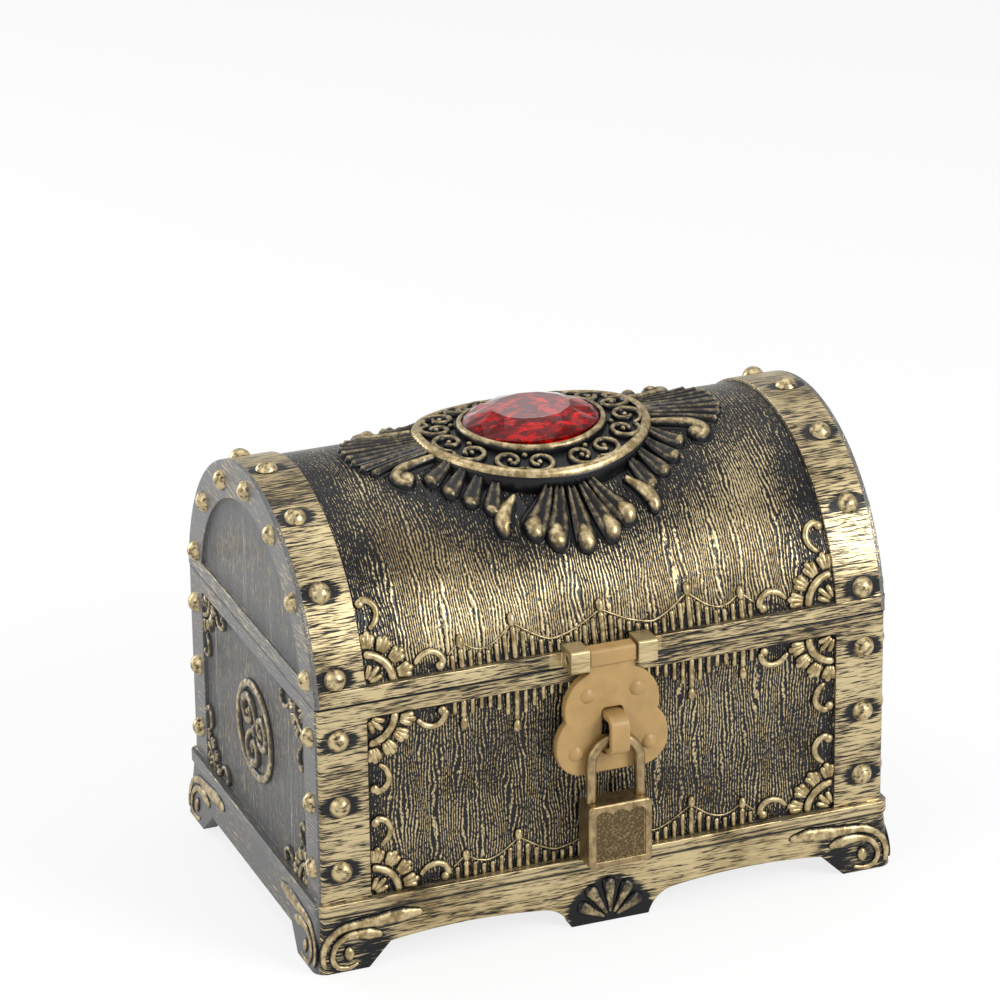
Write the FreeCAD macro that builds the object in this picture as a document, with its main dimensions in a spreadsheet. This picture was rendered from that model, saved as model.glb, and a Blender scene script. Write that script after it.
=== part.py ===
import FreeCAD, Part
import math
import os

import Sketcher

# A domed treasure chest box with feet, a hinged lid, a hasp over a staple and a small padlock.
# Millimetres. The front faces -Y, +X is to the right and the feet stand on Z = 0.

# Box over its corner bands, with the seam between base and lid
length = 163.0
depth = 104.0
seam_height = 76.0
seam_gap = 0.1
dome_rise = 47.2
rim_height = 4.4
front_band = 14.3
side_band = 10.5
panel_recess = 1.0
panel_corner = 1.5
wall = 2.2
corner_radius = 1.2

# Ledge moulding, plinth and feet
ledge_low = 16.0
ledge_high = 19.5
ledge_out = 1.5
plinth_out = 0.8
foot_out = 2.6
plinth_wall = 2.4
floor_low = 13.0
floor_high = 15.5
foot_width = 14.0
foot_slope = 7.5
apron_rise = 6.3
apron_bow = 180.0
drop_half = 11.0
drop_curve = 8.0
cut_margin = 1.0

# Rear hinge
knuckle_radius = 3.0
knuckle_gap = 0.4
knuckle_width = 6.3
knuckle_root = 9.0
knuckle_reach = 2.6
hinge_station = 31.0
pin_radius = 1.2
pin_clearance = 0.05
pin_show = 0.6

# Hasp with its lugs and rivets
lug_near = 6.9
lug_far = 12.4
lug_half = 3.2
lug_corner = 0.7
lug_stand = 3.2
lug_lift = 3.5
barrel_half = 2.4
barrel_corner = 0.9
barrel_gap = 0.3
hasp_pin_inset = 0.4
plate_gap = 2.0
plate_thick = 2.6
neck_half = 6.6
neck_drop = 4.5
shoulder_half = 13.4
shoulder_drop = 16.8
waist_half = 13.0
waist_drop = 17.8
lobe_half = 16.0
lobe_drop = 25.4
heel_half = 10.1
plate_drop = 33.6
shoulder_curve = 10.9
lobe_curve = 9.4
heel_curve = 8.1
slot_half = 3.0
slot_clearance = 1.0
slot_corner = 1.0
rivet_radius = 2.2
rivet_height = 1.0
rivet_upper_x = 7.0
rivet_upper_drop = 10.7
rivet_lower_x = 10.5
rivet_lower_drop = 27.1

# Staple that the hasp closes over
strap_half = 2.7
strap_thick = 1.8
strap_bend = 3.2
strap_fit = 0.05
loop_low_drop = 23.8
loop_high_drop = 12.5
peg_show = 0.8

# Padlock
wire_radius = 1.45
wire_stand = 1.8
wire_clearance = 0.3
bend_radius = 7.0
shackle_show = 19.0
heel_depth = 13.0
toe_depth = 4.2
leg_clearance = 0.08
case_width = 18.3
case_height = 18.6
case_thick = 7.7
case_corner = 1.6
case_edge = 0.7
case_frame = 2.0
case_recess = 0.6
scallop_rise = 1.3
plug_radius = 2.6
plug_height = 9.0
plug_clearance = 0.08
keyway_half = 0.6
keyway_reach = 1.95
keyway_depth = 7.0

# Studs, side rings, crest and gem
stud_radius = 3.0
stud_height = 2.2
stud_front_inset = 6.2
stud_side_inset = 5.4
stud_low_rise = 8.8
stud_high_drop = 9.6
stud_first_angle = 13.8
ring_radius = 14.5
ring_width = 2.4
ring_height = 0.9
ring_lift = 1.95
crest_half_x = 33.0
crest_half_y = 28.0
crest_arch = 98.0
crest_lift = 1.5
seat_clearance = 0.12
rope_width = 2.6
rope_thick = 1.3
fan_reach = 54.0
fan_root = 8.4
fan_petal = 2.6
palmette_reach = 38.5
palmette_root = 16.0
palmette_petal = 2.5
petal_thick = 1.6
bezel_width = 2.4
bezel_height = 2.6
gem_half_x = 19.0
gem_half_y = 16.0
gem_clearance = 0.05
gem_girdle = 2.2
gem_crown = 3.6
gem_table_inset = 6.0
peg_radius = 1.5
peg_clearance = 0.05
peg_half = 8.5

# Carving on the panels and feet, and the lumps and curls round the crest
carving_height = 0.8
corner_ring = 9.1
corner_ring_width = 2.2
corner_reach = 13.9
corner_petal = 2.1
corner_gap = 0.4
corner_bud = 3.9
bud_long = 2.3
bud_half = 1.9
curl_out = 17.6
curl_in = 3.2
curl_long = 3.3
curl_half = 2.3
side_shrink = 0.82
bar_half = 0.65
bar_pitch = 2.5
bar_short = 3.2
bar_swell = 4.6
finial_near = 25.0
finial_far = 40.0
finial_half = 1.2
finial_long = 1.9
comma_reach = 6.2
comma_radius = 4.2
comma_width = 1.7
comma_bead = 1.7
volute_inset = 9.0
volute_rise = 6.6
volute_radius = 5.8
volute_width = 2.2
volute_eye = 1.7
leaf_inset = 22.0
leaf_rise = 12.6
leaf_long = 7.0
leaf_half = 1.6
apron_root = 0.4
apron_middle = 8.1
apron_long = 4.2
apron_petal = 1.5
lump_reach = 11.5
lump_half = 2.0
lump_bury = 3.0
horn_x = 37.2
horn_y = 11.5
horn_long = 7.0
horn_half = 1.9
horn_ball = 2.4
horn_ball_x = 42.4
horn_ball_y = 15.4

# Numbers of repeated pieces, and angles in degrees
gem_sides = 12
arch_studs = 7
fan_petals = 5
fan_angle = 11
palmette_petals = 8
palmette_angle = 14
horn_angle = 25
corner_angles = (12, 35, 58, 81)
bud_angle = 45
comma_angles = (20, 140, 260)
apron_angles = (31, 59, 90, 121, 149)
lump_angles = (30, 39, 48, 57)

doc = FreeCAD.newDocument("TreasureChest")
sheet = doc.addObject("Spreadsheet::Sheet", "sizes")


class Size:
    # A length that keeps its value and the expression that binds it to the sheet.
    def __init__(self, value, text):
        self.value = value
        self.text = text

    def join(self, other, sign, value):
        return Size(value, f"({self.text} {sign} {as_size(other).text})")

    def __add__(self, other):
        return self.join(other, "+", self.value + as_size(other).value)

    def __sub__(self, other):
        return self.join(other, "-", self.value - as_size(other).value)

    def __mul__(self, other):
        return self.join(other, "*", self.value * as_size(other).value)

    def __truediv__(self, other):
        return self.join(other, "/", self.value / as_size(other).value)

    def __rsub__(self, other):
        return as_size(other) - self

    def __rmul__(self, other):
        return as_size(other) * self

    def __neg__(self):
        return Size(-self.value, f"(0 - {self.text})")


def as_size(item):
    return item if isinstance(item, Size) else Size(float(item), str(item))


def root(item):
    return Size(math.sqrt(item.value), f"sqrt({item.text})")


def leg(long_side, short_side):
    # The other short side of a right-angled triangle.
    return root(long_side * long_side - short_side * short_side)


def driving(row, alias, value):
    sheet.set(f"A{row}", alias)
    sheet.set(f"B{row}", str(value))
    sheet.setAlias(f"B{row}", alias)
    return Size(value, f"sizes.{alias}")


# Every size above gets its own cell, and from here on its name stands for that cell
named = [(alias, value) for alias, value in globals().items() if isinstance(value, float)]
for row, (alias, value) in enumerate(named, 1):
    globals()[alias] = driving(row, alias, value)

# Places that follow from the driving sizes
half_length = length / 2
half_depth = depth / 2
inner_half_length = half_length - panel_recess - wall
inner_half_depth = half_depth - panel_recess - wall
lid_base = seam_height + seam_gap
dome_radius = (half_depth * half_depth + dome_rise * dome_rise) / (2 * dome_rise)
dome_middle = lid_base + dome_rise - dome_radius
panel_radius = dome_radius - panel_recess
inner_radius = panel_radius - wall
rim_top = lid_base + rim_height
panel_top = seam_height - rim_height
stud_low = ledge_high + stud_low_rise
stud_high = seam_height - stud_high_drop
ring_middle = (ledge_high + panel_top) / 2 + ring_lift
loop_low = seam_height - loop_low_drop
loop_high = seam_height - loop_high_drop
hinge_y = half_depth + knuckle_radius + knuckle_gap
lug_y = -(half_depth + lug_stand)
lug_z = lid_base + lug_lift
plate_back = half_depth + plate_gap
plate_front = plate_back + plate_thick
wire_out = plate_front + wire_stand
bend_drop = bend_radius - leg(bend_radius, strap_half)
wire_top = loop_low + strap_thick + wire_radius + bend_drop + wire_clearance
loop_inside = wire_out + wire_radius + bend_drop + wire_clearance
loop_outside = loop_inside + strap_thick
case_top = wire_top + wire_radius - shackle_show
case_bottom = case_top - case_height
crest_top = dome_middle + panel_radius + crest_lift
crest_middle = crest_top - crest_arch
petal_radius = panel_radius + petal_thick

# The middle of the whole part in Y is its origin, so every piece moves back by the same amount
origin_shift = (loop_outside - hinge_y - knuckle_radius) / 2

doc.recompute()


def origin_plane(body, role):
    for feature in body.Origin.OriginFeatures:
        if feature.Role == role:
            return feature
    raise ValueError(role)


def new_body(label):
    body = doc.addObject("PartDesign::Body", label)
    body.Label = label
    body.setExpression("Placement.Base.y", origin_shift.text)
    return body


def new_sketch(body, name, role, offset=0):
    sketch = body.newObject("Sketcher::SketchObject", f"{body.Label}_{name}_sketch")
    sketch.AttachmentSupport = [(origin_plane(body, role), "")]
    sketch.MapMode = "FlatFace"
    sketch.setExpression("AttachmentOffset.Base.z", as_size(offset).text)
    return sketch


def bind(sketch, kind, places, value):
    constraint = Sketcher.Constraint(kind, *places, value.value)
    index = sketch.addConstraint(constraint)
    sketch.setExpression(f"Constraints[{index}]", value.text)


def pin_point(sketch, geometry, vertex, x, y):
    bind(sketch, "DistanceX", (-1, 1, geometry, vertex), as_size(x))
    bind(sketch, "DistanceY", (-1, 1, geometry, vertex), as_size(y))


def arc_between(start, end, radius):
    # A positive radius turns left on the way from start to end.
    chord = end - start
    middle = (start + end) * 0.5
    height = math.sqrt(max(radius * radius - chord.Length ** 2 / 4, 0.0))
    left = FreeCAD.Vector(-chord.y, chord.x, 0).normalize()
    centre = middle + left * math.copysign(height, radius)
    first, last = (start, end) if radius > 0 else (end, start)
    begin = math.atan2(first.y - centre.y, first.x - centre.x)
    finish = math.atan2(last.y - centre.y, last.x - centre.x)
    circle = Part.Circle(centre, FreeCAD.Vector(0, 0, 1), abs(radius))
    return Part.ArcOfCircle(circle, begin, finish)


def outline(sketch, corners, closed=True):
    # Each corner is x, y and, where the way to it is round, the radius of that arc.
    # On a closed outline the first corner's radius belongs to the way back to it.
    points = [FreeCAD.Vector(as_size(c[0]).value, as_size(c[1]).value, 0) for c in corners]
    ends = []
    for number, corner in enumerate(corners if closed else corners[:-1]):
        following = (number + 1) % len(corners)
        target = corners[following]
        if len(target) == 3:
            radius = as_size(target[2])
            edge = arc_between(points[number], points[following], radius.value)
            geometry = sketch.addGeometry(edge, False)
            first, last = (1, 2) if radius.value > 0 else (2, 1)
            size = radius if radius.value > 0 else -radius
            bind(sketch, "Radius", (geometry,), size)
        else:
            geometry = sketch.addGeometry(Part.LineSegment(points[number], points[following]), False)
            first, last = 1, 2
        pin_point(sketch, geometry, first, corner[0], corner[1])
        ends.append((geometry, first, last))
    if not closed:
        pin_point(sketch, ends[-1][0], ends[-1][2], corners[-1][0], corners[-1][1])
    following = ends[1:] + ends[:1] if closed else ends[1:]
    for (geometry, _, last), (after, after_first, _) in zip(ends, following):
        sketch.addConstraint(Sketcher.Constraint("Coincident", geometry, last, after, after_first))


def ring(sketch, x, y, radius):
    centre = FreeCAD.Vector(as_size(x).value, as_size(y).value, 0)
    circle = Part.Circle(centre, FreeCAD.Vector(0, 0, 1), radius.value)
    geometry = sketch.addGeometry(circle, False)
    pin_point(sketch, geometry, 3, x, y)
    bind(sketch, "Radius", (geometry,), radius)


def rounded(sketch, left, low, right, high, radius):
    outline(sketch, [
        (left + radius, low, radius), (right - radius, low),
        (right, low + radius, radius), (right, high - radius),
        (right - radius, high, radius), (left + radius, high),
        (left, high - radius, radius), (left, low + radius)])


def centred(sketch, half_x, half_y, radius):
    rounded(sketch, -half_x, -half_y, half_x, half_y, radius)


def extrude(body, kind, name, sketch, distance, reverse):
    feature = body.newObject(f"PartDesign::{kind}", f"{body.Label}_{name}")
    feature.Profile = sketch
    feature.Reversed = reverse
    feature.setExpression("Length", as_size(distance).text)
    return feature


def pad(body, name, sketch, distance, reverse=False):
    return extrude(body, "Pad", name, sketch, distance, reverse)


def pocket(body, name, sketch, distance, reverse=False):
    return extrude(body, "Pocket", name, sketch, distance, reverse)


def mirror(body, name, features, role):
    copy = body.newObject("PartDesign::Mirrored", f"{body.Label}_{name}")
    copy.Originals = features
    copy.MirrorPlane = (origin_plane(body, role), [""])
    body.Tip = copy


def dome_outline(sketch, radius, low):
    # The lid's cross-section above a level: a flat-bottomed arch.
    half = leg(radius, low - dome_middle)
    outline(sketch, [(-half, low, radius), (half, low)])


def knuckle_pair(body, near, base, root_tip):
    # Round knuckles on the hinge axis, each with a root that runs into the rear wall.
    sketch = new_sketch(body, "knuckle_eye", "YZ_Plane", near)
    ring(sketch, hinge_y, seam_height, knuckle_radius)
    eye = pad(body, "knuckle_eye", sketch, knuckle_width)
    sketch = new_sketch(body, "knuckle_root", "YZ_Plane", near)
    inside = half_depth - panel_recess - wall / 2
    corners = [(inside, base), (hinge_y + knuckle_reach, base), (inside, root_tip)]
    outline(sketch, corners if root_tip.value > base.value else corners[::-1])
    arm = pad(body, "knuckle_root", sketch, knuckle_width)
    sketch = new_sketch(body, "knuckle_bore", "YZ_Plane", near - cut_margin)
    ring(sketch, hinge_y, seam_height, pin_radius + pin_clearance)
    bore = pocket(body, "knuckle_bore", sketch, knuckle_width + 2 * cut_margin, True)
    mirror(body, "knuckles", [eye, arm, bore], "YZ_Plane")


def make_box_shell():
    body = new_body("box_shell")

    sketch = new_sketch(body, "walls", "XY_Plane", ledge_low)
    centred(sketch, half_length, half_depth, corner_radius)
    pad(body, "walls", sketch, seam_height - ledge_low)
    sketch = new_sketch(body, "ledge", "XY_Plane", ledge_low)
    centred(sketch, half_length + ledge_out, half_depth + ledge_out, corner_radius + ledge_out)
    pad(body, "ledge", sketch, ledge_high - ledge_low)

    # The plinth flares a little from the ledge down to the feet
    plinth_foot = new_sketch(body, "plinth_foot", "XY_Plane")
    centred(plinth_foot, half_length + foot_out, half_depth + foot_out, corner_radius + foot_out)
    plinth_head = new_sketch(body, "plinth_head", "XY_Plane", ledge_low)
    centred(plinth_head, half_length + plinth_out, half_depth + plinth_out, corner_radius + plinth_out)
    plinth = body.newObject("PartDesign::AdditiveLoft", "box_shell_plinth")
    plinth.Profile = plinth_foot
    plinth.Sections = [plinth_head]
    plinth.Ruled = True

    # Open inside above the floor, and hollow below it
    sketch = new_sketch(body, "cavity", "XY_Plane", seam_height)
    centred(sketch, inner_half_length, inner_half_depth, corner_radius)
    pocket(body, "cavity", sketch, seam_height - floor_high)
    sketch = new_sketch(body, "underside", "XY_Plane")
    hollow_inset = plinth_wall - plinth_out
    centred(sketch, half_length - hollow_inset, half_depth - hollow_inset, corner_radius)
    pocket(body, "underside", sketch, floor_low, True)

    # Sunk panels between the corner bands, the rim and the ledge
    sketch = new_sketch(body, "front_panel", "XZ_Plane", half_depth)
    panel_half = half_length - front_band
    rounded(sketch, -panel_half, ledge_high, panel_half, panel_top, panel_corner)
    front = pocket(body, "front_panel", sketch, panel_recess)
    mirror(body, "back_panel", [front], "XZ_Plane")
    sketch = new_sketch(body, "side_panel", "YZ_Plane", half_length)
    panel_half = half_depth - side_band
    rounded(sketch, -panel_half, ledge_high, panel_half, panel_top, panel_corner)
    side = pocket(body, "side_panel", sketch, panel_recess)
    mirror(body, "other_side_panel", [side], "YZ_Plane")

    # Aprons: two arches beside a middle drop in front and behind, one straight arch at each side
    foot_inside = half_length + foot_out - foot_width
    reach = half_depth + foot_out + cut_margin
    sketch = new_sketch(body, "apron", "XZ_Plane", reach)
    for side in (1, -1):
        outline(sketch, [
            (side * foot_inside, -cut_margin),
            (side * (foot_inside - foot_slope), apron_rise),
            (side * (drop_half + drop_curve), apron_rise, side * apron_bow),
            (side * drop_half, -cut_margin, side * (drop_curve + cut_margin))])
    pocket(body, "apron", sketch, 2 * reach)
    foot_inside = half_depth + foot_out - foot_width
    reach = half_length + foot_out + cut_margin
    sketch = new_sketch(body, "side_apron", "YZ_Plane", reach)
    outline(sketch, [
        (-foot_inside, -cut_margin), (foot_inside, -cut_margin),
        (foot_inside - foot_slope, apron_rise), (foot_slope - foot_inside, apron_rise)])
    pocket(body, "side_apron", sketch, 2 * reach)

    # Slots that the staple's ends pass through
    sketch = new_sketch(body, "staple_slots", "XZ_Plane", half_depth)
    for low in (loop_low, loop_high - strap_thick):
        outline(sketch, [
            (-strap_half - strap_fit, low - strap_fit), (strap_half + strap_fit, low - strap_fit),
            (strap_half + strap_fit, low + strap_thick + strap_fit),
            (-strap_half - strap_fit, low + strap_thick + strap_fit)])
    pocket(body, "staple_slots", sketch, panel_recess + wall + cut_margin)

    knuckle_pair(body, hinge_station + knuckle_gap / 2, seam_height, seam_height - knuckle_root)
    return body


def make_lid_shell():
    body = new_body("lid_shell")

    sketch = new_sketch(body, "dome", "YZ_Plane", -half_length)
    dome_outline(sketch, dome_radius, lid_base)
    pad(body, "dome", sketch, length)
    sketch = new_sketch(body, "rim", "XY_Plane", lid_base)
    centred(sketch, half_length, half_depth, corner_radius)
    pad(body, "rim", sketch, rim_height)

    # The boarded middle lies lower than the two arched bands and the rim
    sketch = new_sketch(body, "panel", "YZ_Plane", half_length - front_band)
    edge = leg(panel_radius, rim_top - dome_middle)
    outside = half_depth + cut_margin
    above = lid_base + dome_rise + cut_margin
    outline(sketch, [
        (edge, rim_top, -panel_radius), (outside, rim_top), (outside, above),
        (-outside, above), (-outside, rim_top), (-edge, rim_top)])
    pocket(body, "panel", sketch, length - 2 * front_band)
    sketch = new_sketch(body, "end_panel", "YZ_Plane", half_length)
    dome_outline(sketch, dome_radius - side_band, rim_top)
    end = pocket(body, "end_panel", sketch, panel_recess)
    mirror(body, "other_end_panel", [end], "YZ_Plane")

    sketch = new_sketch(body, "cavity", "YZ_Plane", inner_half_length)
    dome_outline(sketch, inner_radius, lid_base)
    pocket(body, "cavity", sketch, 2 * inner_half_length)

    # Lugs in front carry the hasp's pin
    sketch = new_sketch(body, "lug", "YZ_Plane", lug_near)
    inside = leg(panel_radius, lug_z + lug_half - dome_middle) - wall / 3
    rounded(sketch, lug_y - lug_half, lug_z - lug_half, -inside, lug_z + lug_half, lug_corner)
    lug = pad(body, "lug", sketch, lug_far - lug_near)
    sketch = new_sketch(body, "lug_bore", "YZ_Plane", lug_near - cut_margin)
    ring(sketch, lug_y, lug_z, pin_radius + pin_clearance)
    bore = pocket(body, "lug_bore", sketch, lug_far - lug_near + 2 * cut_margin, True)
    mirror(body, "lugs", [lug, bore], "YZ_Plane")

    # Two holes for the gem's pegs
    sketch = new_sketch(body, "peg_holes", "XY_Plane", dome_middle + dome_radius)
    for side in (1, -1):
        ring(sketch, side * peg_half, 0, peg_radius + peg_clearance)
    pocket(body, "peg_holes", sketch, dome_radius - inner_radius + cut_margin)

    near = hinge_station - knuckle_gap / 2 - knuckle_width
    knuckle_pair(body, near, lid_base, lid_base + knuckle_root)
    return body


def make_staple():
    body = new_body("staple")
    sketch = new_sketch(body, "strap", "YZ_Plane", -strap_half)
    inside = peg_show - inner_half_depth
    front = -loop_outside
    back = -loop_inside
    bend = strap_bend
    turn = strap_bend - strap_thick
    outline(sketch, [
        (inside, loop_high), (front + bend, loop_high), (front, loop_high - bend, bend),
        (front, loop_low + bend), (front + bend, loop_low, bend), (inside, loop_low),
        (inside, loop_low + strap_thick), (back + turn, loop_low + strap_thick),
        (back, loop_low + bend, -turn), (back, loop_high - bend),
        (back + turn, loop_high - strap_thick, -turn), (inside, loop_high - strap_thick)])
    pad(body, "strap", sketch, 2 * strap_half)
    return body


def make_hasp_plate():
    body = new_body("hasp_plate")
    barrel_end = lug_near - barrel_gap
    sketch = new_sketch(body, "barrel", "YZ_Plane", -barrel_end)
    rounded(sketch, lug_y - barrel_half, lug_z - barrel_half, lug_y + barrel_half, lug_z + barrel_half,
            barrel_corner)
    pad(body, "barrel", sketch, 2 * barrel_end)

    # A pear-shaped leaf: round shoulders, a small nick on each side and two wide lower lobes
    sketch = new_sketch(body, "leaf", "XZ_Plane", plate_back)
    neck_z = lug_z - neck_drop
    shoulder_z = lug_z - shoulder_drop
    waist_z = lug_z - waist_drop
    lobe_z = lug_z - lobe_drop
    low_z = lug_z - plate_drop
    outline(sketch, [
        (-neck_half, lug_z), (neck_half, lug_z), (neck_half, neck_z),
        (shoulder_half, shoulder_z, -shoulder_curve), (waist_half, waist_z),
        (lobe_half, lobe_z, -lobe_curve), (heel_half, low_z, -heel_curve),
        (-heel_half, low_z), (-lobe_half, lobe_z, -heel_curve),
        (-waist_half, waist_z, -lobe_curve), (-shoulder_half, shoulder_z),
        (-neck_half, neck_z, -shoulder_curve)])
    pad(body, "leaf", sketch, plate_thick)
    sketch = new_sketch(body, "slot", "XZ_Plane", plate_front + cut_margin)
    low = loop_low - slot_clearance
    high = loop_high + slot_clearance
    rounded(sketch, -slot_half, low, slot_half, high, slot_corner)
    pocket(body, "slot", sketch, plate_thick + 2 * cut_margin)
    sketch = new_sketch(body, "bore", "YZ_Plane", -barrel_end - cut_margin)
    ring(sketch, lug_y, lug_z, pin_radius + pin_clearance)
    pocket(body, "bore", sketch, 2 * (barrel_end + cut_margin), True)
    return body


def make_shackle():
    body = new_body("shackle")
    bend_z = wire_top - bend_radius
    heel_z = case_top - heel_depth
    toe_z = case_top - toe_depth
    path = new_sketch(body, "path", "XZ_Plane", wire_out)
    outline(path, [
        (-bend_radius, heel_z), (-bend_radius, bend_z), (0, wire_top, -bend_radius),
        (bend_radius, bend_z, -bend_radius), (bend_radius, toe_z)], closed=False)
    section = new_sketch(body, "section", "XY_Plane", heel_z)
    ring(section, -bend_radius, -wire_out, wire_radius)
    wire = body.newObject("PartDesign::AdditivePipe", "shackle_wire")
    wire.Profile = section
    wire.Spine = (path, [])
    return body


def make_padlock_case():
    body = new_body("padlock_case")
    half = case_width / 2
    sketch = new_sketch(body, "block", "XZ_Plane", wire_out - case_thick / 2)
    rounded(sketch, -half, case_bottom, half, case_top, case_corner)
    block = pad(body, "block", sketch, case_thick)
    doc.recompute()
    faces = enumerate(block.Shape.Faces, 1)
    flat = [f"Face{number}" for number, face in faces if abs(face.normalAt(0, 0).y) > 0.9]
    edges = body.newObject("PartDesign::Fillet", "padlock_case_edges")
    edges.Base = (block, flat)
    edges.setExpression("Radius", case_edge.text)

    # A sunk field in front with a three-arched top
    sketch = new_sketch(body, "field", "XZ_Plane", wire_out + case_thick / 2)
    field = half - case_frame
    low = case_bottom + case_frame
    high = case_top - case_frame - scallop_rise
    third = field / 3
    arch = (third * third + scallop_rise * scallop_rise) / (2 * scallop_rise)
    outline(sketch, [
        (-field, low), (field, low), (field, high), (third, high, arch),
        (-third, high, arch), (-field, high, arch)])
    pocket(body, "field", sketch, case_recess)

    for name, x, deep in (("heel", -bend_radius, heel_depth), ("toe", bend_radius, toe_depth)):
        sketch = new_sketch(body, name, "XY_Plane", case_top)
        ring(sketch, x, -wire_out, wire_radius + leg_clearance)
        pocket(body, name, sketch, deep + wire_clearance)
    sketch = new_sketch(body, "plug_bore", "XY_Plane", case_bottom)
    ring(sketch, 0, -wire_out, plug_radius + plug_clearance)
    pocket(body, "plug_bore", sketch, plug_height, True)
    return body


def make_key_plug():
    body = new_body("key_plug")
    sketch = new_sketch(body, "barrel", "XY_Plane", case_bottom)
    ring(sketch, 0, -wire_out, plug_radius)
    pad(body, "barrel", sketch, plug_height - wire_clearance)
    sketch = new_sketch(body, "keyway", "XY_Plane", case_bottom)
    outline(sketch, [
        (-keyway_half, -wire_out - keyway_reach), (keyway_half, -wire_out - keyway_reach),
        (keyway_half, keyway_reach - wire_out), (-keyway_half, keyway_reach - wire_out)])
    pocket(body, "keyway", sketch, keyway_depth, True)
    return body


def make_gem():
    # A faceted oval stone that sits in its bezel, with two pegs through the crest and the lid.
    body = new_body("gem")
    crown_base = crest_top + gem_girdle

    def facets(name, level, half_x, half_y):
        sketch = new_sketch(body, name, "XY_Plane", level)
        corners = []
        for number in range(gem_sides):
            angle = math.radians(360 * (number + 0.5) / gem_sides)
            corners.append((half_x * math.cos(angle), half_y * math.sin(angle)))
        outline(sketch, corners)
        return sketch

    girdle = facets("girdle", crown_base, gem_half_x, gem_half_y)
    pad(body, "stone", girdle, gem_girdle + crest_drop(gem_half_y), True)
    base = facets("crown_base", crown_base, gem_half_x, gem_half_y)
    table = facets("table", crown_base + gem_crown, gem_half_x - gem_table_inset,
                   gem_half_y - gem_table_inset)
    crown = body.newObject("PartDesign::AdditiveLoft", "gem_crown_facets")
    crown.Profile = base
    crown.Sections = [table]
    crown.Ruled = True
    sketch = new_sketch(body, "seat", "YZ_Plane", gem_half_x + cut_margin)
    ring(sketch, 0, crest_middle, crest_arch + seat_clearance)
    pocket(body, "seat", sketch, 2 * (gem_half_x + cut_margin))
    peg_end = dome_middle + inner_radius - peg_show
    sketch = new_sketch(body, "pegs", "XY_Plane", peg_end)
    for side in (1, -1):
        ring(sketch, side * peg_half, 0, peg_radius)
    pad(body, "pegs", sketch, crown_base - peg_end)
    return body


def crest_drop(reach):
    # How far the crest's arched field falls over a distance from the top line.
    return crest_arch - leg(crest_arch, reach)


def place(item, x, y, z, rotation=FreeCAD.Rotation()):
    item.Placement = FreeCAD.Placement(FreeCAD.Vector(), rotation)
    for axis, value in zip("xyz", (x, y, z)):
        item.setExpression(f"Placement.Base.{axis}", as_size(value).text)


ALONG_X = FreeCAD.Rotation(FreeCAD.Vector(0, 1, 0), 90)


def cylinder(name, radius, height, x, y, z, rotation=FreeCAD.Rotation()):
    item = doc.addObject("Part::Cylinder", name)
    item.setExpression("Radius", as_size(radius).text)
    item.setExpression("Height", as_size(height).text)
    place(item, x, y, z, rotation)
    return item


def pin(label, start, span, y, z):
    item = cylinder(label, pin_radius, span, start, y + origin_shift, z, ALONG_X)
    item.Label = label
    return item


def cap(name, radius, height, x, y, z, rotation):
    # A round-headed stud: the part of a ball above the surface it stands on.
    ball = (radius * radius + height * height) / (2 * height)
    item = doc.addObject("Part::Sphere", name)
    item.setExpression("Radius", ball.text)
    item.setExpression("Angle1", f"asin(({ball.text} - {height.text}) / {ball.text})")
    sunk = ball - height
    outward = rotation.multVec(FreeCAD.Vector(0, 0, 1))
    place(item, x - outward.x * sunk, y - outward.y * sunk, z - outward.z * sunk, rotation)
    return item


def group(label, pieces):
    item = doc.addObject("Part::Compound", label)
    item.Label = label
    item.Links = pieces
    item.setExpression("Placement.Base.y", origin_shift.text)
    return item


def turned(axis, angle):
    return FreeCAD.Rotation(FreeCAD.Vector(*axis), angle)


def make_box_studs():
    levels = (stud_low, (stud_low + stud_high) / 2, stud_high)
    faces = {"front": -1, "back": 1, "left": -1, "right": 1}
    made = []
    for face, sign in faces.items():
        studs = []
        for column in (-1, 1):
            for row, level in enumerate(levels):
                name = f"box_stud_{face}_{column + 1}_{row}"
                if face in ("front", "back"):
                    spot = (column * (half_length - stud_front_inset), sign * half_depth, level)
                    rotation = turned((1, 0, 0), -90 * sign)
                else:
                    spot = (sign * half_length, column * (half_depth - stud_side_inset), level)
                    rotation = turned((0, 1, 0), 90 * sign)
                studs.append(cap(name, stud_radius, stud_height, *spot, rotation))
        made.append(group(f"box_studs_{face}", studs))
    return made


def make_lid_studs():
    step = (180 - 2 * stud_first_angle) / (arch_studs - 1)
    made = []
    for side, sign in (("left", -1), ("right", 1)):
        band = []
        end = []
        for number in range(arch_studs):
            angle = stud_first_angle + number * step
            cosine = Size(math.cos(math.radians(angle.value)), f"cos({angle.text} * 1 deg)")
            sine = Size(math.sin(math.radians(angle.value)), f"sin({angle.text} * 1 deg)")
            rotation = turned((1, 0, 0), 90 - angle.value)
            x = sign * (half_length - stud_front_inset)
            band.append(cap(f"band_stud_{side}_{number}", stud_radius, stud_height,
                            x, -dome_radius * cosine, dome_middle + dome_radius * sine, rotation))
            reach = dome_radius - stud_side_inset
            end.append(cap(f"end_stud_{side}_{number}", stud_radius, stud_height, sign * half_length,
                           -reach * cosine, dome_middle + reach * sine, turned((0, 1, 0), 90 * sign)))
        made.append(group(f"lid_studs_{side}_band", band))
        made.append(group(f"lid_studs_{side}_end", end))
    return made


def make_hasp_rivets():
    rivets = []
    rows = ((rivet_upper_x, rivet_upper_drop), (rivet_lower_x, rivet_lower_drop))
    for row, (x, drop) in enumerate(rows):
        for side in (1, -1):
            rivets.append(cap(f"hasp_rivet_{row}_{side + 1}", rivet_radius, rivet_height,
                              side * x, -plate_front, lug_z - drop, turned((1, 0, 0), 90)))
    return group("hasp_rivets", rivets)


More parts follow.
